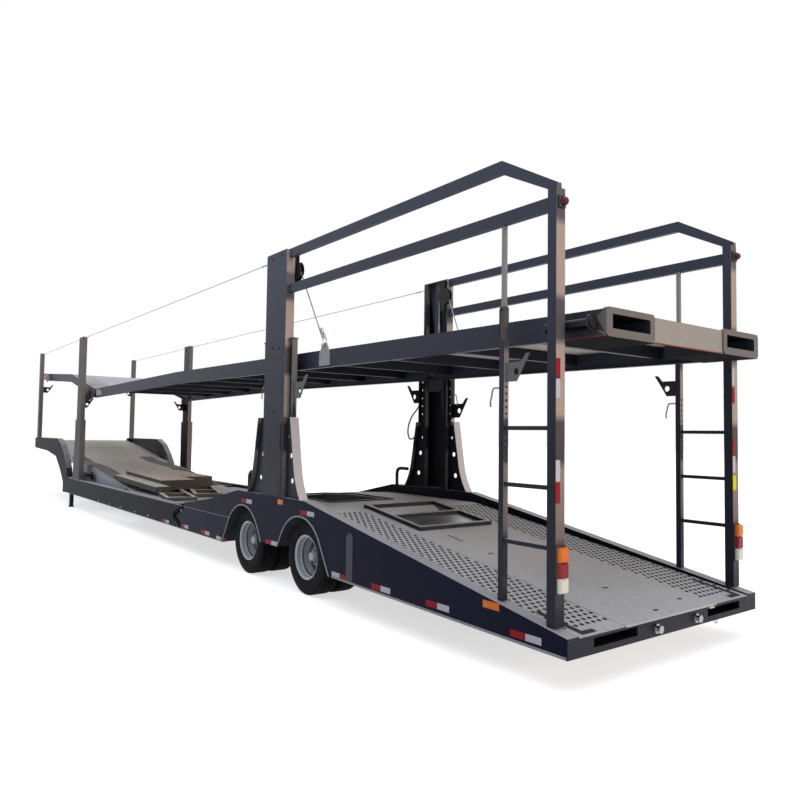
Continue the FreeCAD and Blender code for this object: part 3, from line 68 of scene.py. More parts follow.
LEFT, RIGHT = 1, -1
SIDES = (("left", LEFT), ("right", RIGHT))
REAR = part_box("rear_side_beam_left")[0][0]
LIP = 0.008  # the lips of the wheel openings stand this far out of the side beams
HALF_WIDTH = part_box("rear_side_beam_left")[1][1] - LIP


def station(metres):
    """A place along the trailer, measured forward from the rear face of its rear beam."""
    return REAR + metres


def at(metres, across, height):
    """A point from its station, its distance left of the centre line and its height."""
    return Vector((station(metres), across, height))


# %% [markdown]
# ## The camera
#
# The trailer is looked at from its left rear corner, from about a standing person's eye height, with a
# fairly wide lens. A camera in Blender looks along its own -Z with +Y up, so its turn can be
# written as three columns: what is right, what is up, and what is behind. Building the matrix from the
# heading, pitch and roll keeps each of those three numbers readable.

# %% Place the camera
camera_data = bpy.data.cameras.new("Camera")
camera_data.sensor_width = 36.0
camera_data.lens = 31.84
camera_data.clip_end = 200.0
camera = bpy.data.objects.new("Camera", camera_data)
bpy.context.scene.collection.objects.link(camera)
bpy.context.scene.camera = camera

heading, pitch, roll = math.radians(-37.23), math.radians(2.79), math.radians(0.78)
ahead = Vector((math.cos(heading) * math.cos(pitch), math.sin(heading) * math.cos(pitch), math.sin(pitch)))
level_right = ahead.cross(Vector((0, 0, 1))).normalized()
level_up = level_right.cross(ahead)
right = level_right * math.cos(roll) + level_up * math.sin(roll)
up = level_up * math.cos(roll) - level_right * math.sin(roll)
turn = Matrix((right, up, -ahead)).transposed().to_4x4()
camera.matrix_world = Matrix.Translation(at(-3.0725, 4.9918, 1.7154)) @ turn
print("camera", [round(v, 2) for v in camera.location])

# %% [markdown]
# ## Light and floor
#
# A dark painted frame shows its form only if the sky around it differs from side to side. A low warm
# lamp stands behind the trailer's rear, and turns the faces that look back beige. A cooler, steep one
# stands for the open sky over the decks. The floor and the background show as white to the camera,
# in reflections and through glass, but the world lights the object at a plain level.

# %% Colours and shader nodes
scene = bpy.context.scene
scene.view_settings.view_transform = "Standard"


def linear(code):
    """An sRGB hex colour as the linear RGBA that a shader wants."""
    values = [int(code[i:i + 2], 16) / 255 for i in (0, 2, 4)]
    return [v / 12.92 if v <= 0.04045 else ((v + 0.055) / 1.055) ** 2.4 for v in values] + [1.0]


def add_node(tree, kind, feeds=None, **settings):
    """Add a shader node. Settings name its properties or, after in_, its sockets. feeds are links or
    values for sockets that have a number or share their name."""
    item = tree.nodes.new(kind)
    for name, value in settings.items():
        if name.startswith("in_"):
            item.inputs[name[3:].replace("_", " ")].default_value = value
        else:
            setattr(item, name, value)
    for name, source in (feeds or {}).items():
        if isinstance(source, bpy.types.NodeSocket):
            tree.links.new(source, item.inputs[name])
        else:
            item.inputs[name].default_value = source
    return item


def seen_white(tree):
    """1 for rays from the camera, off a glossy surface or through glass, and else 0."""
    path = add_node(tree, "ShaderNodeLightPath")
    seen = path.outputs["Is Camera Ray"]
    for ray in ("Is Glossy Ray", "Is Transmission Ray"):
        either = add_node(tree, "ShaderNodeMath", {0: seen, 1: path.outputs[ray]}, operation="MAXIMUM")
        seen = either.outputs[0]
    return seen


print("helpers for colours and nodes ready, view", scene.view_settings.view_transform)

# %% World and lamps
world = bpy.data.worlds.new("Studio")
scene.world = world
world.use_nodes = True
sky = world.node_tree
sky.nodes.clear()
dim = add_node(sky, "ShaderNodeBackground", in_Color=linear("E9EDF4"), in_Strength=0.50)
white = add_node(sky, "ShaderNodeBackground", in_Color=linear("FFFFFF"), in_Strength=1.0)
pick = add_node(sky, "ShaderNodeMixShader", {0: seen_white(sky), 1: dim.outputs[0], 2: white.outputs[0]})
add_node(sky, "ShaderNodeOutputWorld", {"Surface": pick.outputs[0]})


def lamp(name, kind, energy, code, aim, **settings):
    """A lamp that shines along a direction."""
    data = bpy.data.lights.new(name, kind)
    data.energy = energy
    data.color = linear(code)[:3]
    for key, value in settings.items():
        setattr(data, key, value)
    thing = bpy.data.objects.new(name, data)
    scene.collection.objects.link(thing)
    thing.rotation_euler = Vector(aim).to_track_quat("-Z", "Y").to_euler()


lamp("Sun", "SUN", 1.9, "FFE0C2", (0.93, 0.10, -0.22), angle=math.radians(24))
lamp("Sky", "SUN", 1.5, "E2EAFF", (0.12, -0.22, -1.0), angle=math.radians(60))

# %% Floor
bpy.ops.mesh.primitive_plane_add(size=160)
floor = bpy.context.object
floor.name = "Floor"
floor_paint = bpy.data.materials.new("matt white floor")
floor_paint.use_nodes = True
floor_tree = floor_paint.node_tree
floor_tree.nodes.clear()
floor_body = add_node(floor_tree, "ShaderNodeBsdfDiffuse", in_Color=linear("E2E2E2"))
floor_glow = add_node(floor_tree, "ShaderNodeEmission", in_Color=linear("FFFFFF"), in_Strength=0.62)
floor_sum = add_node(floor_tree, "ShaderNodeAddShader", {0: floor_body.outputs[0], 1: floor_glow.outputs[0]})
floor_mix = add_node(floor_tree, "ShaderNodeMixShader",
                     {0: seen_white(floor_tree), 1: floor_body.outputs[0], 2: floor_sum.outputs[0]})
add_node(floor_tree, "ShaderNodeOutputMaterial", {"Surface": floor_mix.outputs[0]})
floor.data.materials.append(floor_paint)
print("floor", [round(side, 1) for side in floor.dimensions])

# %% [markdown]
# ## Coach enamel
#
# The frame is sprayed with a dark blue-grey two-pack enamel. Enamel on plate steel is never quite
# even: the plate is slightly wavy, and road dust sits on its upper faces. So the base colour is mixed
# by two sizes of noise, a coat of dust follows the way the surface looks, and a faint bump stands for
# orange peel. Light is painted in as well: the faces that look back get a beige of painted light from
# the low rear lamp, and a painted reflection of the sky pales the tone towards the top of tall parts.

# %% Painted steel, as one recipe with different values


def new_material(name):
    """An empty material, its node tree, and the coordinates that its patterns are laid on."""
    material = bpy.data.materials.new(name)
    material.use_nodes = True
    tree = material.node_tree
    tree.nodes.clear()
    return material, tree, add_node(tree, "ShaderNodeTexCoord").outputs["Object"]


def painted(name, code, worn, roughness, dust=0.25, dust_code="A9A8A2", rear_light=0.0, rear_light_code="B3A499",
            sky_sheen=0.0, peel=0.12, grime=0.35, gloss=0.5):
    """Enamel over steel. worn is the colour of its smears and dust lies on top. The faces that look back
    get painted light of the low rear lamp in beige bands, and a painted sky reflection pales the upper
    parts."""
    material, tree, place = new_material(name)
    # plates differ over about a metre, and smears are a few centimetres wide
    broad = add_node(tree, "ShaderNodeTexNoise", {"Vector": place}, in_Scale=0.9, in_Detail=3.0)
    fine = add_node(tree, "ShaderNodeTexNoise", {"Vector": place}, in_Scale=22.0, in_Detail=6.0)
    both = add_node(tree, "ShaderNodeMath", {0: broad.outputs[0], 1: fine.outputs[0]}, operation="MULTIPLY")
    share = add_node(tree, "ShaderNodeMapRange", {"Value": both.outputs[0]}, in_From_Min=0.12,
                     in_From_Max=0.42, in_To_Max=grime)
    tone = add_node(tree, "ShaderNodeMix", {"Factor": share.outputs[0], 6: linear(code), 7: linear(worn)},
                    data_type="RGBA")
    colour = tone.outputs[2]
    height = add_node(tree, "ShaderNodeSeparateXYZ", {0: place}).outputs[2]
    # painted reflection of the sky: the tone pales towards the top of tall parts
    if sky_sheen:
        sky_sheen_share = add_node(tree, "ShaderNodeMapRange", {"Value": height}, in_From_Min=1.6, in_From_Max=3.6,
                          in_To_Max=sky_sheen)
        sheened = add_node(tree, "ShaderNodeMix", {"Factor": sky_sheen_share.outputs[0], 6: colour, 7: linear("6E7686")},
                        data_type="RGBA")
        colour = sheened.outputs[2]
    normal = add_node(tree, "ShaderNodeNewGeometry").outputs["Normal"]
    facing = add_node(tree, "ShaderNodeSeparateXYZ", {0: normal})
    if rear_light:
        # the painted light of the rear lamp lies in bands about half a metre tall, with plain enamel between
        # them
        bands = add_node(tree, "ShaderNodeTexWave", {"Vector": place}, bands_direction="Z", in_Scale=0.37,
                         in_Distortion=0.35, in_Detail=1.0, in_Phase_Offset=0.18)
        spread = add_node(tree, "ShaderNodeMapRange", {"Value": bands.outputs["Fac"]}, in_From_Min=0.22,
                          in_From_Max=0.42, in_To_Min=0.15)
        back = add_node(tree, "ShaderNodeMapRange", {"Value": facing.outputs[0]}, in_From_Min=-0.55,
                        in_From_Max=-0.95, in_To_Max=rear_light)
        # and it grows weaker towards the bottom
        rising = add_node(tree, "ShaderNodeMapRange", {"Value": height}, in_From_Min=0.5, in_From_Max=1.9)
        rear_lit = back.outputs[0]
        for part in (spread, rising):
            product = add_node(tree, "ShaderNodeMath", {0: rear_lit, 1: part.outputs[0]}, operation="MULTIPLY")
            rear_lit = product.outputs[0]
        rear_lit_tone = add_node(tree, "ShaderNodeMix", {"Factor": rear_lit, 6: colour, 7: linear(rear_light_code)},
                         data_type="RGBA")
        colour = rear_lit_tone.outputs[2]
    settled = add_node(tree, "ShaderNodeMapRange", {"Value": facing.outputs[2]}, in_From_Min=0.5,
                       in_From_Max=1.0, in_To_Max=dust)
    coat = add_node(tree, "ShaderNodeMix", {"Factor": settled.outputs[0], 6: colour, 7: linear(dust_code)},
                    data_type="RGBA")
    rough = add_node(tree, "ShaderNodeMapRange", {"Value": fine.outputs[0]},
                     in_To_Min=max(roughness - 0.10, 0.05), in_To_Max=roughness + 0.12)
    skin = add_node(tree, "ShaderNodeTexNoise", {"Vector": place}, in_Scale=160.0, in_Detail=2.0)
    bump = add_node(tree, "ShaderNodeBump", {"Height": skin.outputs[0]}, in_Strength=peel,
                    in_Distance=0.0015)
    feeds = {"Base Color": coat.outputs[2], "Roughness": rough.outputs[0], "Normal": bump.outputs[0]}
    shader = add_node(tree, "ShaderNodeBsdfPrincipled", feeds, in_Specular_IOR_Level=gloss)
    add_node(tree, "ShaderNodeOutputMaterial", {"Surface": shader.outputs[0]})
    return material


print("recipe for enamel ready")

# %% The frame's painted finishes
FINISHES = {
    # the enamel carries painted light on the faces that look back, and a painted sky reflection up high
    "frame_paint": painted("blue-grey coach enamel", "1C1E29", "262833", 0.45, dust=0.72, dust_code="B0B1B3",
                           rear_light=0.74, sky_sheen=0.30, gloss=0.14),
    "deck_paint": painted("light grey enamel on deck sheet", "B0B5B9", "92949A", 0.6, dust=0.15, grime=0.7,
                          gloss=0.3),
    "underframe": painted("black chassis paint", "17181B", "26251F", 0.66, dust=0.3, gloss=0.25),
    "rim": painted("silver wheel enamel", "AEB4B8", "8D9194", 0.38, dust=0.1),
}
print("painted slots:", sorted(FINISHES))

# %% [markdown]
# ## Bare metal and rubber
#
# Some steel is left bare: ground and greased plate, and galvanised wire rope. Both keep the default
# IOR and are fully metallic, so what tells them apart is colour and roughness. Tyre rubber is nearly
# black and matt, and it hardly shines, so it has a low specular level.

# %% Steel, wire and rubber


def simple(name, code, other, roughness, metallic=0.0, scale=40.0, depth=0.0008, strength=0.3, gloss=0.5):
    """A finish whose colour wanders between two tones, with a fine bump."""
    material, tree, place = new_material(name)
    noise = add_node(tree, "ShaderNodeTexNoise", {"Vector": place}, in_Scale=scale, in_Detail=5.0)
    tone = add_node(tree, "ShaderNodeMix", {"Factor": noise.outputs[0], 6: linear(code), 7: linear(other)},
                    data_type="RGBA")
    bump = add_node(tree, "ShaderNodeBump", {"Height": noise.outputs[0]}, in_Strength=strength,
                    in_Distance=depth)
    shader = add_node(tree, "ShaderNodeBsdfPrincipled",
                      {"Base Color": tone.outputs[2], "Normal": bump.outputs[0]},
                      in_Roughness=roughness, in_Metallic=metallic, in_Specular_IOR_Level=gloss)
    add_node(tree, "ShaderNodeOutputMaterial", {"Surface": shader.outputs[0]})
    return material


FINISHES["bare_steel"] = simple("ground and greased steel", "6A6A69", "3F3D3A", 0.34, metallic=1.0)
FINISHES["wire"] = simple("galvanised wire rope", "A5A8AA", "7E8184", 0.45, metallic=1.0, scale=300.0)
FINISHES["tyre"] = simple("tyre rubber", "0C0C0E", "161618", 0.8, scale=25.0, gloss=0.12)

for entry in frame["record"]["subparts"]:
    mesh = nodes[entry["node"]].data
    mesh.materials.clear()
    mesh.materials.append(FINISHES[entry["material_slot"]])

# %% [markdown]
# ## Second finishes on welded parts
#
# Some brackets are blacked before they are welded on, and some faces keep their primer or only gather
# dust; others get painted light or painted shade. They belong to the same welded part as the enamel
# round them, so the part stays whole and only those faces get another finish. A face is picked by
# where its middle is and how it looks.

# %% Brackets, slot frames and boards
black = painted("black primer on brackets", "0F1013", "1A1A1C", 0.55, dust=0.35, gloss=0.3)
frame_grey = painted("dusty enamel on slot frames", "5F5D5B", "7C736B", 0.55, dust=0.4, gloss=0.25)
patched_grey = painted("patched enamel on the middle plate", "8A8884", "A39B90", 0.55, dust=0.4, gloss=0.25)
hoist_steel = painted("worn steel of the hoist plates", "96999A", "6B6D6E", 0.5, dust=0.3, gloss=0.4)
bracket_grey = painted("weathered primer on brackets", "6B6C6B", "4C4D4E", 0.6, dust=0.4, gloss=0.25)
tube_grey = painted("weathered galvanised tube", "8B8E8C", "6C6F6C", 0.42, dust=0.2, gloss=0.4)
dark_tube = painted("oiled sleeve of the tube", "3F4039", "4B4B42", 0.45, dust=0.1, gloss=0.35)
# painted shade, as a darker enamel
shade_navy = painted("painted shade on dark enamel", "0B0D16", "14161F", 0.5, dust=0.3, gloss=0.05)
# painted highlight for the lips of the wheel openings
lip_highlight = painted("painted highlight on the lips", "83878D", "6C7077", 0.55, dust=0.3, gloss=0.2)
# painted shade for slots, the box's underside and the splice gap
shade_black = painted("painted shade in slots and under the box", "08080A", "0D0D0E", 0.85, dust=0.0, gloss=0.05)
# painted shade for the outer faces of the rear sides
shaded_rear_side = painted("painted shade on the rear sides", "0E1024", "181A2C", 0.45, dust=0.72, dust_code="B0B1B3",
                    gloss=0.05)
strip_grey = painted("dusty strip over the joint", "3A3B43", "44454C", 0.5, dust=0.3, gloss=0.2)
print("finishes for brackets, tubes and sides, such as", black.name)

# %% Finishes of dust, painted light and painted shade
# painted light on the faces that look back, as an even mid-grey
rear_face_light = painted("painted light on rear faces of the front posts", "4E4D50", "6F6962", 0.55, dust=0.3, grime=0.8,
                     gloss=0.2)
# painted shade deep in the wheel discs
rim_shade = painted("painted shade in the wheel discs", "45484B", "2C2E30", 0.55, dust=0.0, grime=0.8,
                    gloss=0.3)
# painted light on the rear edge flanges of the gussets
flange_edge_light = painted("painted light on flange edges", "BABBBD", "9C9C9C", 0.6, dust=0.3, gloss=0.25)
# a dusty deck colour, lightened as painted light
dusty_lit_deck = painted("dusty deck sheet lightened as painted light", "C9C7C1", "AFA99F", 0.65, dust=0.2, grime=0.8, gloss=0.25)
# dust and painted light on the tops of the ramp boards
dusty_lit_tops = painted("dust and painted light on ramp board tops", "DACDBE", "B8AB9C", 0.65, dust=0.2, grime=0.8, gloss=0.2)
dark_enamel = painted("enamel out of the weather", "1B1D27", "262833", 0.5, dust=0.3, gloss=0.2)
# the faces of the boards that look back get painted light of the rear lamp, in bands
ramp_boards = painted("primer on ramp boards", "3D3B3B", "4B4744", 0.62, dust=0.8, dust_code="B3A493",
                      rear_light=0.9, rear_light_code="C0A995", gloss=0.25)
# painted light from the floor, a pale beige for the undersides of deck sheet
underside_bounce_light = painted("painted floor light on deck undersides", "DDCFBF", "BFB0A1", 0.7, dust=0.0, gloss=0.2)
turned_steel = simple("turned and zinc plated steel", "B9BBBC", "8B8D8E", 0.36, metallic=1.0, scale=60.0)
print("finishes for decks, boards and wheels, such as", dusty_lit_deck.name)

# %% Give them to the brackets, boards and decks


def second_finish(node, finish, wanted):
    """Give the faces of a CAD part that pass a test another finish. wanted gets middle and normal."""
    mesh = nodes[node].data
    mesh.materials.append(finish)
    index = len(mesh.materials) - 1
    picked = 0
    for face in mesh.polygons:
        if wanted(face.center, face.normal):
            face.material_index = index
            picked += 1
    print(node, "has", picked, "faces in", finish.name)


POST_REAR, POST_FRONT = 0.127, 0.205
COLUMN_REAR, COLUMN_FRONT = 3.994, 4.479
THIN_REAR, THIN_FRONT = 0.639, 0.691
SLOT_FRAMES = -0.1  # the slot frames of the upper deck's rear box lie behind this station
HOIST_PLATES = 1.04  # and its hoist plates further out than this

for text, side in SIDES:
    # support brackets and lock racks stand before or behind the posts
    second_finish("rear_ladder_" + text, black, lambda middle, normal: middle.z > 2.0 and (
        station(POST_FRONT + 0.02) < middle.x < station(THIN_REAR) or middle.x > station(THIN_FRONT)))
    second_finish("main_column_" + text, black, lambda middle, normal: 1.9 < middle.z < 2.775 and (
        middle.x < station(COLUMN_REAR - 0.001) or middle.x > station(COLUMN_FRONT + 0.001)))
    second_finish("second_post_" + text, black, lambda middle, normal:
                  1.5 < middle.z < 2.5 and abs(middle.y) < 1.15)
    second_finish("front_post_" + text, black, lambda middle, normal:
                  2.4 < middle.z < 3.2 and abs(middle.y) < 1.155)
    second_finish("upper_beam_" + text, hoist_steel, lambda middle, normal: abs(middle.y) > HOIST_PLATES)
    second_finish("carriage_" + text, black, lambda middle, normal: True)
# the undersides of the upper and front deck plates get painted light, as if lit from the floor
for node in ("upper_deck_plate", "front_deck_plate"):
    second_finish(node, underside_bounce_light, lambda middle, normal: normal.z < -0.5)

# %% The rear box, the rear beam and what lies in the well
second_finish("upper_rear_box", frame_grey, lambda middle, normal:
              middle.x < station(SLOT_FRAMES) and abs(middle.y) < HOIST_PLATES)
second_finish("upper_rear_box", patched_grey, lambda middle, normal:
              middle.x < station(SLOT_FRAMES) and abs(middle.y) < 0.46 and normal.x < -0.9)
second_finish("upper_rear_box", black, lambda middle, normal: abs(middle.y) > HOIST_PLATES)
# the underside of the rear box gets painted shade
second_finish("upper_rear_box", shade_black, lambda middle, normal: normal.z < -0.5)
second_finish("rear_beam", turned_steel, lambda middle, normal: middle.x < station(-0.001))
second_finish("stowed_ramps", ramp_boards, lambda middle, normal: True)
# the tops of the boards get dust and painted light
second_finish("stowed_ramps", dusty_lit_tops, lambda middle, normal: normal.z > 0.5)
# the tops of the neck and the front of the well get the dusty colour, lightened as painted light
second_finish("neck_deck", dusty_lit_deck, lambda middle, normal: normal.z > 0.3)
second_finish("well_deck", dusty_lit_deck, lambda middle, normal: normal.z > 0.3 and middle.x > station(10.0))
second_finish("upper_cross_members", dark_enamel, lambda middle, normal: True)
second_finish("hatch_frame", dark_enamel, lambda middle, normal: normal.z < 0.7)
# the floor of the rear beam's slots gets painted shade
second_finish("rear_beam", shade_black, lambda middle, normal: normal.z > 0.5 and middle.z < 0.35)

# %% Sides, posts and wheels
# faces on the right-hand side that look in across the deck get painted shade, a darker enamel
for node in ("main_column_right", "rear_side_beam_right", "second_post_right"):
    second_finish(node, shade_navy, lambda middle, normal: normal.y > 0.6 and middle.z < 2.8)
# the left column's rear rack and its bracket are grey, where the others are black
second_finish("main_column_left", bracket_grey, lambda middle, normal:
              1.96 < middle.z < 2.775 and middle.x < station(COLUMN_REAR - 0.03))
for text, side in SIDES:
    # the outer faces of the rear sides get painted shade, and the lips of the wheel openings a painted
    # highlight
    second_finish("rear_side_beam_" + text, shaded_rear_side, lambda middle, normal: normal.y * side > 0.6)
    second_finish("rear_side_beam_" + text, lip_highlight, lambda middle, normal:
                  abs(middle.y) > HALF_WIDTH + 0.0008)
    # the rear faces of the front posts get painted light, an even mid-grey
    for node in ("second_post_", "front_post_"):
        second_finish(node + text, rear_face_light, lambda middle, normal:
                      normal.x < -0.9 and abs(middle.y) > 1.155)
    # the discs inside the rims get painted shade
    for axle in ("front", "rear"):
        second_finish("rims_%s_%s" % (axle, text), rim_shade, lambda middle, normal:
                      abs(normal.y) > 0.6 and abs(middle.y) < 1.10)
    # the sides ahead of the wheels get painted shade, a darker enamel
    for node in ("well_side_beam_", "neck_beam_"):
        second_finish(node + text, shade_navy, lambda middle, normal: normal.y * side > 0.6)
    # the thin posts are tube: galvanised above a dark sleeve at mid height, with a grey bracket
    second_finish("rear_ladder_" + text, tube_grey, lambda middle, normal:
                  middle.z > 2.68 and middle.x > station(0.630))
    second_finish("rear_ladder_" + text, bracket_grey, lambda middle, normal: middle.z > 1.9 and (
        station(POST_FRONT + 0.02) < middle.x < station(THIN_REAR)))
    # the rear edge flanges of the curved gussets get painted light, and the pulleys are black
    second_finish("main_column_" + text, flange_edge_light, lambda middle, normal: 0.90 < middle.z < 1.95
                  and normal.x < -0.5 and middle.x < station(COLUMN_REAR - 0.03))
    second_finish("main_column_" + text, black, lambda middle, normal:
                  middle.z > 3.2 and abs(middle.y) < 1.13)

# %% [markdown]
# ## Shaping helpers
#
# Nearly every fitting is one of three things in the workshop: turned on a lathe, folded or rolled
# along a line, or cut from plate. So three helpers start from a primitive and shape it in edit mode:
# a ring extruded and resized step by step, a section extruded along points, and a plate whose edges
# are bevelled. A primitive is selected all over when it is added, so each helper deselects first.

# %% Helpers that select, place and edit
made = []


def deselect():
    """Leave no object selected, so that an operator acts on the next primitive only."""
    bpy.ops.object.select_all(action="DESELECT")


def only(thing):
    """Make one object the only selected one, and the active one."""
    deselect()
    thing.select_set(True)
    bpy.context.view_layer.objects.active = thing


def bake_place(thing):
    """Move an object's place, turn and scale into its mesh."""
    only(thing)
    bpy.ops.object.transform_apply(location=True, rotation=True, scale=True)


def open_edit():
    """Go into edit mode with the whole piece selected."""
    bpy.ops.object.mode_set(mode="EDIT")
    bpy.ops.mesh.select_all(action="SELECT")


def face_outwards():
    """Turn every face of the piece in edit mode outwards."""
    bpy.ops.mesh.select_all(action="SELECT")
    bpy.ops.mesh.normals_make_consistent(inside=False)


def close_edit():
    """Leave edit mode."""
    bpy.ops.object.mode_set(mode="OBJECT")


def pick(thing, kind, wanted):
    """Select just the FACE or EDGE items of a piece in edit mode that pass a test."""
    bpy.ops.mesh.select_mode(type=kind)
    bpy.ops.mesh.select_all(action="DESELECT")
    form = bmesh.from_edit_mesh(thing.data)
    for item in form.faces if kind == "FACE" else form.edges:
        item.select = wanted(item)
    bmesh.update_edit_mesh(thing.data)


def extrude_edges(*way):
    """Extrude the selected edges by a vector."""
    bpy.ops.mesh.extrude_edges_move(TRANSFORM_OT_translate={"value": way})


def thicken(thing, name, thickness, offset):
    """Give a sheet its thickness, to one side of it."""
    only(thing)
    wall = thing.modifiers.new(name, "SOLIDIFY")
    wall.thickness = thickness
    wall.offset = offset
    bpy.ops.object.modifier_apply(modifier=name)


print("helpers for edit mode ready")

# %% Helpers that turn, run and cut


def turned(rows, sides=24, ring=False):
    """A turned piece about the Y axis: (radius, y) rows, as a ring where the last row meets the first."""
    deselect()
    bpy.ops.mesh.primitive_circle_add(vertices=sides, radius=rows[0][0], location=(0, rows[0][1], 0),
                                      rotation=(math.pi / 2, 0, 0))
    thing = bpy.context.object
    bake_place(thing)
    open_edit()
    for (before, start), (radius, end) in zip(rows, rows[1:]):
        extrude_edges(0, end - start, 0)
        bpy.ops.transform.resize(value=(radius / before, 1, radius / before), center_override=(0, end, 0))
    bpy.ops.mesh.select_all(action="DESELECT")
    bpy.ops.mesh.select_mode(type="EDGE")
    bpy.ops.mesh.select_non_manifold()
    if ring:
        bpy.ops.mesh.bridge_edge_loops()
    else:
        bpy.ops.mesh.fill_holes(sides=0)
    face_outwards()
    close_edit()
    return thing


def run(points, width, height, bevel=0.0):
    """A bar of a given section that follows points which run along the trailer or upwards."""
    first, second = Vector(points[0]), Vector(points[1])
    tall = abs((second - first).z) > abs((second - first).x)
    deselect()
    bpy.ops.mesh.primitive_plane_add(size=1, location=first, rotation=(0, 0 if tall else math.pi / 2, 0))
    thing = bpy.context.object
    thing.scale = (width, height, 1) if tall else (height, width, 1)
    bake_place(thing)
    open_edit()
    for before, after in zip(points, points[1:]):
        bpy.ops.mesh.extrude_region_move(TRANSFORM_OT_translate={"value": Vector(after) - Vector(before)})
    face_outwards()
    if bevel:
        bpy.ops.mesh.bevel(offset=bevel, segments=2, affect="EDGES")
    close_edit()
    return thing


def cut_plate(low, high, bevel=0.001, recess=None):
    """A plate between two corners, its edges bevelled. recess is (axis, way, margin, step): the face
    that looks that way is inset by the margin and pushed out or in by the step."""
    low, high = Vector(low), Vector(high)
    low, high = Vector(map(min, low, high)), Vector(map(max, low, high))
    deselect()
    bpy.ops.mesh.primitive_cube_add(size=1, location=(low + high) / 2)
    thing = bpy.context.object
    thing.scale = high - low
    bake_place(thing)
    open_edit()
    if recess:
        axis, way, margin, step = recess
        pick(thing, "FACE", lambda face: face.normal[axis] * way > 0.9)
        bpy.ops.mesh.inset(thickness=margin)
        push = [0.0, 0.0, 0.0]
        push[axis] = step * way
        bpy.ops.mesh.extrude_region_move(TRANSFORM_OT_translate={"value": push})
    bpy.ops.mesh.select_all(action="SELECT")
    bpy.ops.mesh.bevel(offset=bevel, segments=2, affect="EDGES")
    close_edit()
    return thing


print("helpers for turned, run and cut pieces ready")

# %% Helpers that copy, join and name


def moved(thing, matrix):
    """The same piece, its mesh moved by a matrix."""
    thing.data.transform(matrix)
    return thing


def copied(thing, matrix):
    """A copy with its own mesh, moved by a matrix. A mirrored one is turned right side out."""
    twin = thing.copy()
    twin.data = thing.data.copy()
    scene.collection.objects.link(twin)
    twin.data.transform(matrix)
    if matrix.determinant() < 0:
        twin.data.flip_normals()
    return twin


def joined(things):
    """Several meshes as one object."""
    only(things[0])
    for thing in things[1:]:
        thing.select_set(True)
    if len(things) > 1:
        bpy.ops.object.join()
    return bpy.context.object


def dressed(thing, finish):
    """Give one piece its own finish before it is joined to others."""
    thing.data.materials.clear()
    thing.data.materials.append(finish)
    return thing


def keep(thing, name, finish, body="trailer", smooth=None, replaced=()):
    """Name a shaped piece, give it a finish and let it move with a body of the frame."""
    bake_place(thing)
    thing.name = name
    thing.data.name = name
    if finish:
        dressed(thing, finish)
    if smooth:
        bpy.ops.object.shade_smooth_by_angle(angle=math.radians(smooth))
    if replaced:
        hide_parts(*replaced)
    if body:
        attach(thing, body)
    made.append(thing)
    return thing


def last_made(count):
    """The names of the pieces that were kept last."""
    return [thing.name for thing in made[-count:]]


# a turned piece stands along +Y, and these turn it upright, to the rear, or to the front
UPRIGHT = Matrix.Rotation(math.pi / 2, 4, "X")
REARWARD = Matrix.Rotation(math.pi / 2, 4, "Z")
FORWARD = Matrix.Rotation(-math.pi / 2, 4, "Z")
MIRROR = Matrix.Scale(-1, 4, (0, 1, 0))
TO_SIDE = {LEFT: Matrix.Identity(4), RIGHT: MIRROR}


def turn_to(way):
    """The turn that lays a turned piece along a direction."""
    return Vector((0, 1, 0)).rotation_difference(way).to_matrix().to_4x4()


def copies_at(rows, sides, places, ring=False):
    """One turned piece, copied to each of the given places, as one object."""
    first = turned(rows, sides=sides, ring=ring)
    whole = joined([copied(first, place) for place in places])
    bpy.data.objects.remove(first)
    return whole


def side_plate(side, start, end, proud, bevel, border, sunk=0.001):
    """A plate on the outer face of a side, between two (station, height) corners. border is (margin,
    step) of its outer face."""
    return cut_plate(at(start[0], side * (HALF_WIDTH - sunk), start[1]),
                     at(end[0], side * (HALF_WIDTH + proud), end[1]), bevel=bevel, recess=(1, side, *border))


print("helpers for copies, names and turns ready")

# %% Places on the frame's own sheets
trees = {}


def top_of(node, metres, across):
    """Height of a part's upper surface at a station, found by a ray from above."""
    if node not in trees:
        mesh = nodes[node].data
        trees[node] = BVHTree.FromPolygons([v.co.copy() for v in mesh.vertices],
                                           [tuple(p.vertices) for p in mesh.polygons])
    hit = trees[node].ray_cast(Vector((station(metres), across, 9)), Vector((0, 0, -1)))[0]
    return hit.z


def line_on(node, start, end, steps, across, lift, probe=None):
    """Points along a sheet from one station to another, lifted off it. Where the sheet is open under
    the line, its height is taken at another distance from the centre line, probe."""
    points = []
    for index in range(steps + 1):
        metres = start + (end - start) * index / steps
        points.append(at(metres, across, top_of(node, metres, across if probe is None else probe) + lift))
    return points


print("the deck is", round(top_of("neck_deck", 16.5, 0.2), 3), "m up at the neck")

# %% [markdown]
# ## Perforated wheel tracks
#
# Each wheel of a loaded car climbs a track of sheet that is pierced in staggered rows, so that it grips
# in the wet and mud falls through. A bump would do from far off, but the holes show the dark space
# below, so they are real. One tile is modelled: a ring is extruded outwards twice, once for the raised
# rim and once to the tile's edge. Two rows half a tile apart are joined, an Array repeats them up the
# slope, and Solidify gives the sheet its thickness. Both ends are left plain, as on the real sheet.

# %% The tile, the rows and the two tracks
# painted shade for the walls of the holes, also used for a dark strip on the neck
hole_shade_and_dark_strip = simple("painted shade in holes, and a dark strip", "1B1A19", "2C2A27", 0.85)
TILES_ACROSS, ROW_PAIRS = 8, 26
PLAIN_REAR, PLAIN_FRONT = 0.13, 0.07
SHEET = 0.008
track_low, track_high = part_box("rear_track_left")
track_width = track_high.y - track_low.y
tile_wide = track_width / TILES_ACROSS
track_length = track_high.x - track_low.x
tile_long = (track_length - PLAIN_REAR - PLAIN_FRONT) / (2 * ROW_PAIRS)
print("holes every", round(tile_wide * 1000), "mm across and", round(tile_long * 1000), "mm along")


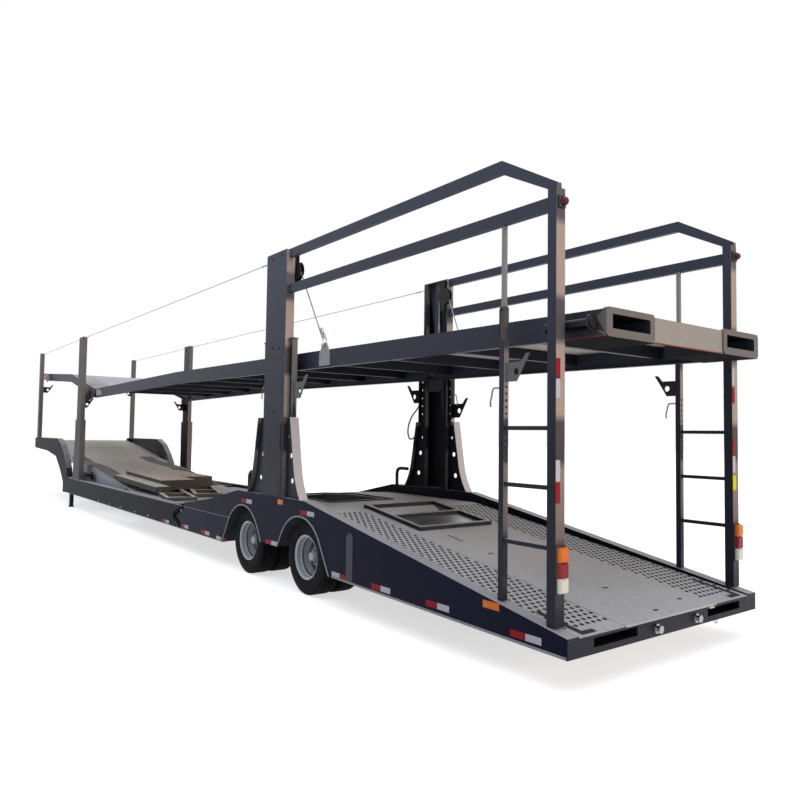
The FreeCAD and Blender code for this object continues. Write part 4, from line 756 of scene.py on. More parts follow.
RIM_REACH = 0.039  # how far the outer ring of the tile is from the middle of its hole


def pierced_tile():
    """One tile with an eight-sided hole that has a raised rim, its middle at the origin."""
    deselect()
    bpy.ops.mesh.primitive_circle_add(vertices=8, radius=0.0155)
    tile = bpy.context.object
    open_edit()
    bpy.ops.transform.translate(value=(0, 0, 0.003))
    extrude_edges(0, 0, -0.003)
    bpy.ops.transform.resize(value=(1.26, 1.26, 1), center_override=(0, 0, 0))
    extrude_edges(0, 0, 0)
    bpy.ops.transform.resize(value=(2, 2, 1), center_override=(0, 0, 0))
    close_edit()
    for vertex in tile.data.vertices:
        if vertex.co.xy.length > 0.025:
            # the outer ring of eight goes to the tile's corners and to the middles of its edges
            vertex.co.x = round(vertex.co.x / RIM_REACH) * tile_long / 2
            vertex.co.y = round(vertex.co.y / RIM_REACH) * tile_wide / 2
    return tile


def half_tile():
    """A plain half tile that ends a shifted row."""
    deselect()
    bpy.ops.mesh.primitive_grid_add(x_subdivisions=2, y_subdivisions=1, size=1)
    tile = bpy.context.object
    tile.scale = (tile_long, tile_wide / 2, 1)
    bake_place(tile)
    return tile


def row_pair():
    """A row of tiles, and one shifted by half a tile with a half tile at each end."""
    tile, plain = pierced_tile(), half_tile()
    places = [(tile, 0.5, (index + 0.5) * tile_wide) for index in range(TILES_ACROSS)]
    places += [(tile, 1.5, index * tile_wide) for index in range(1, TILES_ACROSS)]
    places += [(plain, 1.5, middle) for middle in (0.25 * tile_wide, track_width - 0.25 * tile_wide)]
    pieces = [copied(thing, Matrix.Translation((tiles * tile_long, across, 0)))
              for thing, tiles, across in places]
    for spare in (tile, plain):
        bpy.data.objects.remove(spare)
    return joined(pieces)


print("a row has", TILES_ACROSS, "holes, and there are", 2 * ROW_PAIRS, "rows")

# %% The sheet, its plain ends and its slope


def track_panel():
    """The pierced sheet of the left track, in its place on the slope."""
    panel = row_pair()
    panel.location.x = PLAIN_REAR
    bake_place(panel)
    rows = panel.modifiers.new("rows", "ARRAY")
    rows.count = ROW_PAIRS
    rows.use_relative_offset = False
    rows.use_constant_offset = True
    rows.constant_offset_displace = (2 * tile_long, 0, 0)
    rows.use_merge_vertices = True
    rows.merge_threshold = 0.0005
    bpy.ops.object.modifier_apply(modifier="rows")
    open_edit()
    bpy.ops.mesh.remove_doubles(threshold=0.0005)
    for line, reach in ((PLAIN_REAR, -PLAIN_REAR), (track_length - PLAIN_FRONT, PLAIN_FRONT)):
        pick(panel, "EDGE", lambda edge: all(abs(v.co.x - line) < 0.001 for v in edge.verts))
        extrude_edges(reach, 0, 0)
    face_outwards()
    close_edit()
    thicken(panel, "sheet", SHEET, -1 if panel.data.polygons[0].normal.z > 0 else 1)
    # the slope is straight, so the flat sheet is sheared up to it, its underside a sheet lower
    lean = Matrix.Identity(4)
    lean[2][0] = (track_high.z - track_low.z - SHEET) / track_length
    moved(panel, Matrix.Translation((track_low.x, track_low.y, track_low.z + SHEET)) @ lean)
    # the walls and the rims of the holes get painted shade, a darker finish than the sheet
    panel.data.materials.append(FINISHES["deck_paint"])
    panel.data.materials.append(hole_shade_and_dark_strip)
    for face in panel.data.polygons:
        face.material_index = 0 if abs(face.normal.z) > 0.8 else 1
    return panel


left_track = track_panel()
right_track = copied(left_track, MIRROR)
for text, panel in (("left", left_track), ("right", right_track)):
    keep(panel, "pierced_track_" + text, None, replaced=("rear_track_" + text,))
print("each track has", len(left_track.data.polygons), "faces")

# %% [markdown]
# ## Grip bars
#
# Further forward the tracks aren't pierced: round bars are welded along them instead, five to a track,
# on the slope up to the neck and on the fixed front deck. A section extruded from point to point is
# enough for a bar, and the points lie on the sheet, where a ray from above meets it.

# %% Bars along the neck slope and the front deck
BAR = 0.014


def bars(name, segments, inner, spacing, count):
    """Bars on a sheet, on both sides. segments are (part, start, end) along the trailer."""
    points = []
    for part, start, end in segments:
        points += line_on(part, start, end, max(2, round((end - start) / 0.15)), inner, BAR / 2 - 0.001)
    first = run(points, BAR, BAR, bevel=0.003)
    row = [first] + [copied(first, Matrix.Translation((0, spacing * i, 0))) for i in range(1, count)]
    one_side = joined(row)
    other = copied(one_side, MIRROR)
    # the bars take the dusty deck colour, lightened as painted light
    keep(joined([one_side, other]), name, dusty_lit_deck)


NECK_SLOPE = (("well_deck", 10.75, 13.02), ("neck_deck", 13.06, 15.2))
bars("grip_bars_neck", NECK_SLOPE, 0.64, 0.072, 5)
bars("grip_bars_front_deck", (("front_deck_plate", 13.1, 15.05),), 0.62, 0.085, 5)
print("grip bars:", last_made(2))

# %% [markdown]
# ## Tyres
#
# The frame's tyres are plain rings. A road tyre has four grooves round its tread, a rounded shoulder
# and a wall that bulges and then tucks in to the bead. All of that is turned, so one half of the
# section is written as rows of radius and width, and the other half is the same rows backwards.

# %% Turn one tyre and copy it to the four wheels
WHEELS = (("front_left", LEFT), ("front_right", RIGHT), ("rear_left", LEFT), ("rear_right", RIGHT))
tyre_low, tyre_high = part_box("tyres_rear_left")
TYRE_HALF = tyre_high.z / 2
TYRE_WIDTH = 0.230
TWIN = tyre_high.y - tyre_low.y - TYRE_WIDTH


def tyre_rows():
    """(radius, y) rows of the whole section: outer wall, tread with its grooves, inner wall, inside."""
    half = TYRE_WIDTH / 2
    wall = [(0.238, -0.098), (0.250, -0.108), (0.290, -0.1145), (0.330, -half), (0.362, -0.110),
            (0.380, -0.103)]
    tread = [(TYRE_HALF - 0.002, -0.094)]
    for middle in (-0.060, -0.021, 0.021, 0.060):
        for offset, drop in ((-0.0055, 0.0), (-0.0045, 0.011), (0.0045, 0.011), (0.0055, 0.0)):
            tread.append((TYRE_HALF - drop, middle + offset))
    other = [(radius, -y) for radius, y in reversed(wall + tread[:1])]
    inside = [(0.238, 0.085), (0.300, 0.098), (0.370, 0.085)]
    inside += [(radius, -y) for radius, y in reversed(inside)]
    return wall + tread + other + inside


one_tyre = turned(tyre_rows(), sides=88, ring=True)
for wheel, side in WHEELS:
    low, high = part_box("tyres_" + wheel)
    hub = (low + high) / 2
    twins = [copied(one_tyre, Matrix.Translation(hub + Vector((0, way * TWIN / 2, 0)))) for way in (-1, 1)]
    keep(joined(twins), "treaded_tyres_" + wheel, FINISHES["tyre"], body="wheel_" + wheel,
         smooth=28, replaced=("tyres_" + wheel,))
bpy.data.objects.remove(one_tyre)
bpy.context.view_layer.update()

# %% [markdown]
# ## Wheel nuts
#
# Ten nuts hold each wheel on its hub flange. A nut is turned with six sides, with a washer of many
# sides under it and the end of the stud standing out of it. It is turned once, copied round the hub,
# and each ring of nuts turns with its wheel.

# %% Nuts on the four hubs
NUT_RING, NUT_COUNT, HUB_FACE = 0.089, 10, 1.026
washer = turned([(0.004, 0.0), (0.020, 0.0), (0.020, 0.004), (0.004, 0.004)], sides=20)
hexagon = turned([(0.004, 0.003), (0.0165, 0.003), (0.0165, 0.019), (0.0145, 0.021), (0.010, 0.021)],
                 sides=6)
stud = turned([(0.009, 0.018), (0.009, 0.029), (0.0075, 0.031), (0.002, 0.031)], sides=12)
one_nut = joined([washer, hexagon, stud])
for wheel, side in WHEELS:
    low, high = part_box("tyres_" + wheel)
    middle = (low + high) / 2
    hub_face = Matrix.Translation((middle.x, 0, middle.z)) @ TO_SIDE[side]
    out = Matrix.Translation((NUT_RING, HUB_FACE, 0))
    ring = [copied(one_nut, hub_face @ Matrix.Rotation(2 * math.pi * index / NUT_COUNT, 4, "Y") @ out)
            for index in range(NUT_COUNT)]
    keep(joined(ring), "wheel_nuts_" + wheel, turned_steel, body="wheel_" + wheel,
         smooth=35)
bpy.data.objects.remove(one_nut)
print("nuts:", last_made(4))

# %% [markdown]
# ## Lamp lenses and reflective tape
#
# A lens is moulded acrylic with fine prisms on its inside, which give the eye narrow bright and dark
# lines under a glossy skin. Reflective tape is a film over tiny cells. Weather has dulled it, and it
# keeps a faint net. The prisms are 4 mm apart and the cells 3 mm wide.

# %% Acrylic and reflective film


def moulded_lens(name, code, pitch=0.004):
    """Coloured acrylic with prisms that run across it."""
    material, tree, place = new_material(name)
    shade = [channel * 0.55 for channel in linear(code)[:3]] + [1.0]
    prisms = add_node(tree, "ShaderNodeTexWave", {"Vector": place}, bands_direction="Z",
                      in_Scale=0.314 / pitch)
    tone = add_node(tree, "ShaderNodeMix", {"Factor": prisms.outputs["Fac"], 6: linear(code), 7: shade},
                    data_type="RGBA")
    bump = add_node(tree, "ShaderNodeBump", {"Height": prisms.outputs["Fac"]}, in_Strength=0.35,
                    in_Distance=0.001)
    shader = add_node(tree, "ShaderNodeBsdfPrincipled",
                      {"Base Color": tone.outputs[2], "Normal": bump.outputs[0]},
                      in_Roughness=0.2, in_IOR=1.49, in_Specular_IOR_Level=0.25)
    add_node(tree, "ShaderNodeOutputMaterial", {"Surface": shader.outputs[0]})
    return material


def reflective_film(name, code):
    """Reflective sheeting with its net of cells."""
    material, tree, place = new_material(name)
    shade = [channel * 0.7 for channel in linear(code)[:3]] + [1.0]
    cells = add_node(tree, "ShaderNodeTexVoronoi", {"Vector": place}, feature="DISTANCE_TO_EDGE",
                     in_Scale=1 / 0.003)
    net = add_node(tree, "ShaderNodeMapRange", {"Value": cells.outputs["Distance"]}, in_From_Max=0.08)
    tone = add_node(tree, "ShaderNodeMix", {"Factor": net.outputs[0], 6: shade, 7: linear(code)},
                    data_type="RGBA")
    shader = add_node(tree, "ShaderNodeBsdfPrincipled", {"Base Color": tone.outputs[2]}, in_Roughness=0.5,
                      in_Specular_IOR_Level=0.15)
    add_node(tree, "ShaderNodeOutputMaterial", {"Surface": shader.outputs[0]})
    return material


amber_lens = moulded_lens("amber acrylic lens", "E87608")
red_lens = moulded_lens("red acrylic lens", "8E0618")
dome_lens = moulded_lens("dark red dome", "5A0614")
clear_lens = moulded_lens("clear acrylic lens", "E4E4D8")
red_film = reflective_film("red reflective film", "8C0814")
white_film = reflective_film("white reflective film", "B4B8BF")
yellow_film = reflective_film("yellow reflective film", "CFCB10")
lamp_housing = simple("black moulded lamp housing", "121214", "1D1D20", 0.55)
print("lenses and films ready")

# %% [markdown]
# ## Tail lamps and marker lamps
#
# A three-chamber tail lamp is screwed to the rear face of each rear post: amber over red over clear.
# Higher up sits a marker lamp, a red dome on a black foot. Each chamber is a plate whose rear face is
# inset and pushed out, which leaves the step round the lens, and the dome is turned.

# %% Lamps on the rear posts
post_in, post_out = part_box("rear_ladder_left")[0].y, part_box("rear_ladder_left")[1].y
POST_FACE = station(POST_REAR)
LAMP_BASE = 0.658
MARKER_BASE, MARKER_TOP = 3.305, 3.392
CHAMBERS = ((0.100, clear_lens), (0.107, red_lens), (0.100, amber_lens))
DOME_ROWS = ((0.030, 0.0), (0.031, 0.012), (0.029, 0.022), (0.023, 0.032), (0.013, 0.039), (0.003, 0.041))


def rear_plate(side, margin, bottom, top, deep, bevel, near=0.0002, border=None):
    """A plate on the rear face of a post, set in by a margin from its edges. It reaches from near to
    deep behind the face. border is (margin, step) of its own rear face."""
    return cut_plate((POST_FACE - deep, side * (post_in + margin), bottom),
                     (POST_FACE - near, side * (post_out - margin), top), bevel=bevel,
                     recess=(0, -1, *border) if border else None)


for text, side in SIDES:
    parts = [dressed(rear_plate(side, 0, LAMP_BASE - 0.006, LAMP_BASE + 0.314, 0.014, 0.003), lamp_housing)]
    height = LAMP_BASE
    for tall, lens in CHAMBERS:
        chamber = rear_plate(side, 0.003, height + 0.001, height + tall - 0.001, 0.036, 0.002, near=0.013,
                             border=(0.007, 0.009))
        parts.append(dressed(chamber, lens))
        height += tall
    keep(joined(parts), "tail_lamp_" + text, None)
    foot = rear_plate(side, 0.012, MARKER_BASE, MARKER_TOP, 0.020, 0.006, border=(0.012, 0.004))
    place = Vector((POST_FACE - 0.022, side * (post_in + post_out) / 2, 3.347))
    dome = moved(turned(DOME_ROWS), Matrix.Translation(place) @ REARWARD)
    keep(joined([dressed(foot, lamp_housing), dressed(dome, dome_lens)]), "marker_lamp_" + text, None,
         smooth=35)
print("lamps:", last_made(4))

# %% [markdown]
# ## Tape, side lamps and dots
#
# Pairs of red and white tape run low along both sides, with two more above the wheel openings, and
# the rear posts carry some too. The film is thin, so a plate of about a millimetre with a slightly
# sunk border is all it takes. Most pairs have their red half ahead, and two are the other way round.

# %% Strips of film
FILM = 0.0012
SIDE_TAPES = ((0.37, 0.317), (1.32, 0.343), (2.10, 0.342), (2.78, 0.338), (3.43, 0.877), (4.89, 0.887),
              (5.63, 0.341), (6.15, 0.361), (6.91, 0.360), (7.70, 0.350), (4.22, 0.474))
WHITE_AHEAD = (2.78, 5.63)
POST_TAPES = {
    "left": ((1.26, red_film), (1.41, white_film), (1.98, white_film), (2.11, red_film)),
    "right": ((1.42, white_film), (1.58, red_film), (2.03, red_film), (2.19, white_film)),
}
TAPE_HALF, TAPE_TALL, TAPE_WIDE = 0.145, 0.050, 0.045
YELLOW_BASE, YELLOW_TALL, YELLOW_WIDE = 1.265, 0.13, 0.055


def film(low, high, finish, axis, way):
    """One strip of film, with its border pressed down."""
    return dressed(cut_plate(low, high, bevel=0.0003, recess=(axis, way, 0.004, 0.0003)), finish)


def post_film(side, outer, wide, bottom, tall, finish):
    """One strip on the rear face of a post, inwards from its outer edge."""
    return film((POST_FACE - FILM, side * (outer - wide), bottom), (POST_FACE, side * outer, bottom + tall),
                finish, 0, -1)


for text, side in SIDES:
    strips = []
    for metres, height in SIDE_TAPES:
        ahead, behind = (white_film, red_film) if metres in WHITE_AHEAD else (red_film, white_film)
        for start, finish in ((metres, ahead), (metres - TAPE_HALF, behind)):
            low = at(start, side * HALF_WIDTH, height - TAPE_TALL / 2)
            high = at(start + TAPE_HALF, side * (HALF_WIDTH + FILM), height + TAPE_TALL / 2)
            strips.append(film(low, high, finish, 1, side))
    outer = post_out if text == "left" else post_in + TAPE_WIDE
    for height, finish in POST_TAPES[text]:
        strips.append(post_film(side, outer, TAPE_WIDE, height, TAPE_HALF, finish))
    if text == "right":
        strips.append(post_film(side, post_in + YELLOW_WIDE, YELLOW_WIDE, YELLOW_BASE, YELLOW_TALL,
                                yellow_film))
    keep(joined(strips), "reflective_tape_" + text, None)
print("tape:", last_made(2))

# %% [markdown]
# ## Side lamps and round reflectors
#
# Amber side lamps sit over the column foot and by the thin post, a red lens and a dark plate lie
# further forward, and a row of small round reflectors follows the well beam. A lamp is a plate whose
# middle stands out, and a reflector is turned once and copied. None stands out further than the lips
# of the wheel openings, so that the trailer keeps its width.

# %% Side lamps and a row of reflectors
SIDE_LAMPS = ((4.02, 0.948, 0.060, 0.028, amber_lens), (0.71, 0.468, 0.085, 0.028, amber_lens),
              (7.04, 0.577, 0.035, 0.020, red_lens), (9.96, 0.580, 0.030, 0.018, lamp_housing))
DOTS = ((8.54, 0.352), (9.24, 0.350), (10.07, 0.350), (10.77, 0.348), (11.53, 0.346))
for text, side in SIDES:
    parts = []
    for metres, height, reach, rise, lens in SIDE_LAMPS:
        plate = side_plate(side, (metres - reach, height - rise), (metres + reach, height + rise), 0.003,
                           0.001, (0.005, 0.004), sunk=0)
        parts.append(dressed(plate, lens))
    dot = turned([(0.019, 0.0), (0.019, 0.003), (0.016, 0.0055), (0.003, 0.0065)], sides=20)
    for metres, height in DOTS:
        place = Matrix.Translation(at(metres, HALF_WIDTH, height))
        parts.append(dressed(copied(dot, TO_SIDE[side] @ place), white_film))
    bpy.data.objects.remove(dot)
    keep(joined(parts), "side_lamps_" + text, None, smooth=35)
print("side lamps and", len(DOTS), "reflectors a side")

# %% [markdown]
# ## Hoist ropes
#
# A steel rope runs up inside each column, over the pulley and down to an eye on the upper deck. Rope
# is strands laid round each other, and the light catches each strand as a slanting line. The ropes
# are taut here, so one lobed section is extruded along the line and turned a little at each step,
# which makes real strands.

# %% A helper for laid rope
ROPE = 0.0085
SECTION_POINTS = 12
PULLEY = Vector((station(4.030), 1.108, 3.554))
PULLEY_GROOVE = 0.084
EYE = Vector((station(3.475), 1.0445, 2.663))
LAY = 0.09


def strand_ring(middle, along, twist):
    """The points of a six-strand rope's section, across the way it runs."""
    side_way = Vector((0, 1, 0))
    other = along.cross(side_way).normalized()
    ring = []
    for index in range(SECTION_POINTS):
        angle = 2 * math.pi * index / SECTION_POINTS + twist
        reach = ROPE * (1.0 if index % 2 else 0.80)
        ring.append(middle + side_way * math.cos(angle) * reach + other * math.sin(angle) * reach)
    return ring


def laid_rope(points):
    """A rope along points. A circle is its first section, and each extrusion becomes the next one."""
    deselect()
    bpy.ops.mesh.primitive_circle_add(vertices=SECTION_POINTS, radius=ROPE)
    rope = bpy.context.object
    open_edit()
    form = bmesh.from_edit_mesh(rope.data)
    travelled = 0.0
    for index, middle in enumerate(points):
        before, after = points[max(index - 1, 0)], points[min(index + 1, len(points) - 1)]
        if index:
            travelled += (middle - points[index - 1]).length
            extrude_edges(0, 0, 0)
            form = bmesh.from_edit_mesh(rope.data)
        ring = strand_ring(middle, (after - before).normalized(), 2 * math.pi * travelled / LAY)
        for vertex, place in zip([v for v in form.verts if v.select], ring):
            vertex.co = place
        bmesh.update_edit_mesh(rope.data)
    bpy.ops.mesh.select_all(action="SELECT")
    bpy.ops.mesh.fill_holes(sides=0)
    face_outwards()
    close_edit()
    return rope


print("rope", round(2000 * ROPE), "mm thick, its strands turn once in", round(1000 * LAY), "mm")

# %% Ropes over the pulleys
ABOVE_EYE = 0.10  # the rope itself starts this far from the eye, inside its sleeve
STRAIGHT_STEPS, TURN_STEP = 56, 0.16
TAIL_STEPS, TAIL_STEP = 34, 0.016


def sloped(angle, length):
    """A vector of a given length, turned up by an angle from straight ahead."""
    return Vector((math.cos(angle), 0, math.sin(angle))) * length


def rope_points():
    """From the eye up to the pulley's rear, round its top and down inside the column."""
    reach = PULLEY.xz - EYE.xz
    base = math.atan2(reach[1], reach[0])
    start = EYE + sloped(base, ABOVE_EYE)
    touch = base + math.asin(PULLEY_GROOVE / reach.length) + math.pi / 2
    first = PULLEY + sloped(touch, PULLEY_GROOVE)
    points = [start.lerp(first, index / STRAIGHT_STEPS) for index in range(STRAIGHT_STEPS)]
    angle = touch
    while angle > 0.05:
        points.append(PULLEY + sloped(angle, PULLEY_GROOVE))
        angle -= TURN_STEP
    down = PULLEY + Vector((PULLEY_GROOVE, 0, 0))
    points += [down - Vector((0, 0, TAIL_STEP * index)) for index in range(TAIL_STEPS)]
    return points


route = rope_points()
left_rope = laid_rope(route)
right_rope = copied(left_rope, MIRROR)
for text, side, rope in (("left", LEFT, left_rope), ("right", RIGHT, right_rope)):
    keep(rope, "hoist_rope_" + text, FINISHES["wire"], body=None, smooth=60)
    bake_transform(rope)
print("rope of", len(route), "sections")

# %% [markdown]
# ## Shackles and lift rods
#
# Each rope ends in a shackle: a bow of bent bar whose two ends take a bolt through the eye plate. A
# round bar is quickest made as a smooth curve with a round section, turned into a mesh. The lift rods
# are the polished part of the hydraulic rams: each leaves its barrel in the column and stands on the
# block that slides there.

# %% A helper for bent round bar


def bent_bar(name, points, radius):
    """A round bar along a smooth line through given points, turned into a mesh."""
    line = bpy.data.curves.new(name, "CURVE")
    line.dimensions = "3D"
    line.bevel_depth = radius
    line.bevel_resolution = 3
    line.resolution_u = 10
    line.use_fill_caps = True
    spline = line.splines.new("NURBS")
    spline.points.add(len(points) - 1)
    for point, place in zip(spline.points, points):
        point.co = (*place, 1.0)
    spline.use_endpoint_u = True
    spline.order_u = 3
    thing = bpy.data.objects.new(name, line)
    scene.collection.objects.link(thing)
    only(thing)
    bpy.ops.object.convert(target="MESH")
    return bpy.context.object


print("helper for bent round bar ready")

# %% Shackles with their bolt, thimble and sleeve, and the rods
chrome = simple("hard chromed rod", "C4C6C8", "A7A9AB", 0.12, metallic=1.0, scale=90.0, depth=0.0001)
SHACKLE_BOLT = ((0.016, -0.034), (0.016, -0.026), (0.011, -0.026), (0.011, 0.027), (0.017, 0.027),
                (0.017, 0.038))
THIMBLE = ((0.020, -0.010), (0.026, -0.004), (0.026, 0.004), (0.020, 0.010), (0.014, 0.004), (0.014, -0.004))
ROPE_SLEEVE = ((0.010, 0.0), (0.016, 0.004), (0.016, 0.072), (0.011, 0.080))


def shackle_at(foot):
    """The fittings that join a rope's end to its eye plate, whose hole is at foot."""
    spread, rise, tuck = Vector((0, 0.021, 0)), Vector((0, 0, 0.05)), Vector((0, 0.017, 0))
    crown = foot + Vector((0.012, 0, 0.095))
    bow = bent_bar("bow", (foot - spread, foot - spread + rise, crown - tuck, crown + tuck,
                           foot + spread + rise, foot + spread), 0.008)
    bolt = moved(turned(SHACKLE_BOLT, sides=12), Matrix.Translation(foot))
    thimble = moved(turned(THIMBLE, sides=20, ring=True),
                    Matrix.Translation(foot + Vector((0.022, 0, 0.105))))
    slant = (PULLEY.xz - EYE.xz).normalized()
    lie = turn_to(Vector((slant[0], 0, slant[1])))
    sleeve = moved(turned(ROPE_SLEEVE, sides=16), Matrix.Translation(foot + Vector((0.040, 0, 0.132))) @ lie)
    return joined([dressed(piece, turned_steel) for piece in (bow, bolt, thimble, sleeve)])


RAM_ACROSS = 1.1975
LIFT_ROD = ((0.030, 0.0), (0.030, 0.024), (0.022, 0.026), (0.022, 0.060), (0.022, 0.100), (0.022, 0.140),
            (0.022, 0.180), (0.022, 0.300))
for text, side in SIDES:
    shackle = shackle_at(Vector((EYE.x, side * EYE.y, EYE.z)))
    keep(shackle, "shackle_" + text, turned_steel, body="upper_deck", smooth=40)
    # the rod stands on the block, with rings along it up towards the barrel above
    low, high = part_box("carriage_" + text)
    foot = Vector(((low.x + high.x) / 2, side * RAM_ACROSS, high.z))
    rod = moved(turned(LIFT_ROD, sides=28), Matrix.Translation(foot) @ UPRIGHT)
    keep(rod, "lift_rod_" + text, chrome, body=None, smooth=40)
    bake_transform(rod)
print("hoist fittings:", last_made(4))

# %% [markdown]
# ## Pull handles
#
# The lock pins behind the brackets are drawn with bent handles that hang beside the posts. They are
# round bar with two bends, so a smooth line with a round section is the shortest way to them.

# %% Four handles
handle_steel = simple("weathered round bar", "8C8B88", "5E5C59", 0.5, metallic=0.9, scale=70.0)
HANDLES = (("thin_left", LEFT, 0.690, 1.178, 2.075, 1), ("thin_right", RIGHT, 0.690, 1.178, 2.045, 1),
           ("column_left", LEFT, 4.579, 1.175, 2.26, 1), ("column_right", RIGHT, 3.894, 1.150, 2.24, -1))
HANDLE_LINE = ((0.0, 0.0), (0.045, 0.0), (0.080, 0.004), (0.098, -0.024), (0.100, -0.060),
               (0.118, -0.100), (0.112, -0.140))
for text, side, metres, across, height, way in HANDLES:
    route = [at(metres + way * reach, side * across, height + rise) for reach, rise in HANDLE_LINE]
    keep(bent_bar("handle", route, 0.0065), "pull_handle_" + text, handle_steel,
         smooth=50)
print("handles:", last_made(4))

# %% [markdown]
# ## Hydraulic hose
#
# A hose leaves the lock ram on the right column and loops down to its foot. It is stiff rubber, so it
# bows outwards in one even curve between its two fittings and never kinks.

# %% The hose and its fittings
hose_rubber = simple("black hydraulic hose", "141416", "202024", 0.5, scale=60.0)
HOSE = ((4.600, -1.178, 2.120), (4.655, -1.178, 2.060), (4.760, -1.180, 1.985), (4.845, -1.182, 1.860),
        (4.862, -1.182, 1.740), (4.820, -1.180, 1.655), (4.755, -1.178, 1.650), (4.705, -1.177, 1.672))
FITTING = ((0.012, -0.030), (0.016, -0.028), (0.016, 0.0), (0.0135, 0.004), (0.0135, 0.030), (0.011, 0.032))
route = [at(*place) for place in HOSE]
keep(bent_bar("hose", route, 0.010), "hydraulic_hose", hose_rubber, smooth=50)
for index, (end, after) in enumerate(((route[0], route[1]), (route[-1], route[-2]))):
    fitting = moved(turned(FITTING, sides=12), Matrix.Translation(end) @ turn_to((after - end).normalized()))
    keep(fitting, "hose_fitting_%d" % index, turned_steel, smooth=35)
print("hose:", last_made(3))

# %% [markdown]
# ## Grab loop, conduit and wire clamps
#
# A wide loop of tube stands at the foot of each column, and a flat conduit carries the lamp cable
# down the column's outer face. The guard wires are fixed with small swaged clamps beside the columns
# and near their front ends.

# %% Loop, conduit and clamps
GRAB_LOOP = ((5.045, 0.990), (5.045, 1.090), (5.048, 1.160), (5.030, 1.222), (4.960, 1.238), (4.880, 1.238),
             (4.800, 1.236))
CLAMP = ((0.006, 0.0), (0.011, 0.003), (0.0125, 0.018), (0.011, 0.033), (0.006, 0.036))
CLAMPS_AT = (4.620, 4.690, 12.95, 13.72, 17.60)
for text, side in SIDES:
    route = [at(metres, side * 1.142, height) for metres, height in GRAB_LOOP]
    keep(bent_bar("loop", route, 0.024), "grab_loop_" + text, black, smooth=50)
    conduit = side_plate(side, (4.045, 1.010), (4.063, 1.890), 0.0050, 0.002, (0.003, 0.0008))
    strap = side_plate(side, (4.035, 1.440), (4.073, 1.455), 0.0062, 0.0012, (0.002, 0.0003))
    keep(joined([conduit, strap]), "lamp_conduit_" + text, FINISHES["frame_paint"])
    wire_low, wire_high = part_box("guard_wire_" + text)
    middle = (wire_low + wire_high) / 2
    clamps = [Matrix.Translation((station(metres), middle.y, middle.z)) @ FORWARD for metres in CLAMPS_AT]
    keep(copies_at(CLAMP, 14, clamps), "wire_clamps_" + text, turned_steel, smooth=40)
print("column fittings:", last_made(6))

# %% [markdown]
# ## Lock holes, bolts and sleeves
#
# The thin posts are drilled in a row so that the bracket can be moved, and the columns carry bolts
# where the guard rails and pulleys are fixed. A hole is dark inside, so each is a turned ring with a
# floor of painted shade sunk in its middle. A dark greased sleeve closes the top of each post's square
# tube, where the round tube slides in.

# %% Rows of holes, bolt heads and sleeves
# painted shade for the insides of holes, slots and pockets
opening_shade = simple("painted shade inside holes and slots", "0A0A0B", "151413", 0.9)
THIN_ACROSS = 1.178
THIN_MIDDLE = 0.665
SLEEVE_LOW, SLEEVE_TOP, SLEEVE_HALF = 2.425, 2.668, 0.0265
HOLE_COUNT, FIRST_HOLE, HOLE_PITCH = 12, 1.53, 0.05
LOCK_HOLE = ((0.0105, 0.0012), (0.0085, 0.0016), (0.008, 0.0004), (0.001, 0.0002))
BOLT_HEAD = ((0.016, 0.0), (0.016, 0.002), (0.0125, 0.0025), (0.0125, 0.0065), (0.011, 0.0075),
             (0.002, 0.0075))
BOLTS_AT = ((4.300, 2.684), (4.140, 2.681), (4.235, 1.960), (4.110, 3.740), (4.360, 3.740))
COLLAR = ((0.0225, 0.0), (0.034, 0.0), (0.034, 0.012), (0.028, 0.018), (0.0225, 0.018))
for text, side in SIDES:
    holes = [Matrix.Translation(at(0.640, side * THIN_ACROSS, FIRST_HOLE + HOLE_PITCH * index)) @ REARWARD
             for index in range(HOLE_COUNT)]
    keep(copies_at(LOCK_HOLE, 12, holes), "lock_holes_" + text, opening_shade, smooth=30)
    bolts = [TO_SIDE[side] @ Matrix.Translation(at(metres, HALF_WIDTH, height))
             for metres, height in BOLTS_AT]
    keep(copies_at(BOLT_HEAD, 12, bolts), "column_bolts_" + text, black, smooth=30)
    sleeve = cut_plate(at(THIN_MIDDLE - SLEEVE_HALF, side * (THIN_ACROSS - SLEEVE_HALF), SLEEVE_LOW),
                       at(THIN_MIDDLE + SLEEVE_HALF, side * (THIN_ACROSS + SLEEVE_HALF), SLEEVE_TOP),
                       bevel=0.006, recess=(1, side, 0.006, 0.0004))
    collar = moved(turned(COLLAR, sides=28, ring=True),
                   Matrix.Translation(at(THIN_MIDDLE, side * THIN_ACROSS, SLEEVE_TOP)) @ UPRIGHT)
    keep(joined([sleeve, collar]), "tube_sleeve_" + text, dark_tube, smooth=35)
print("holes, bolts and sleeves:", last_made(6))

# %% [markdown]
# ## Red edge lines and marks
#
# A thin red line is painted along the lower edge of the upper deck's rear end, and red strips mark the
# hatch and the opening over the axles. Lines of paint have almost no thickness, so they are plates or
# runs of about a millimetre or less.

# %% Red lines and marks
red_paint = simple("red edge paint", "7E141D", "6A1018", 0.55)
deck_low, deck_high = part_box("upper_rear_box")
line_low, line_high = deck_low.z + 0.0005, deck_low.z + 0.009
red = [cut_plate((deck_low.x + 0.0115, -0.475, line_low), (deck_low.x + 0.012, 0.475, line_high),
                 bevel=0.0001, recess=(0, -1, 0.0005, 0.0002))]
for text, side in SIDES:
    red.append(cut_plate((deck_low.x + 0.030, side * 1.0380, line_low),
                         (deck_high.x, side * 1.0388, line_high), bevel=0.0001,
                         recess=(1, side, 0.0005, 0.0002)))
keep(joined(red), "red_edge_lines", red_paint, body="upper_deck")

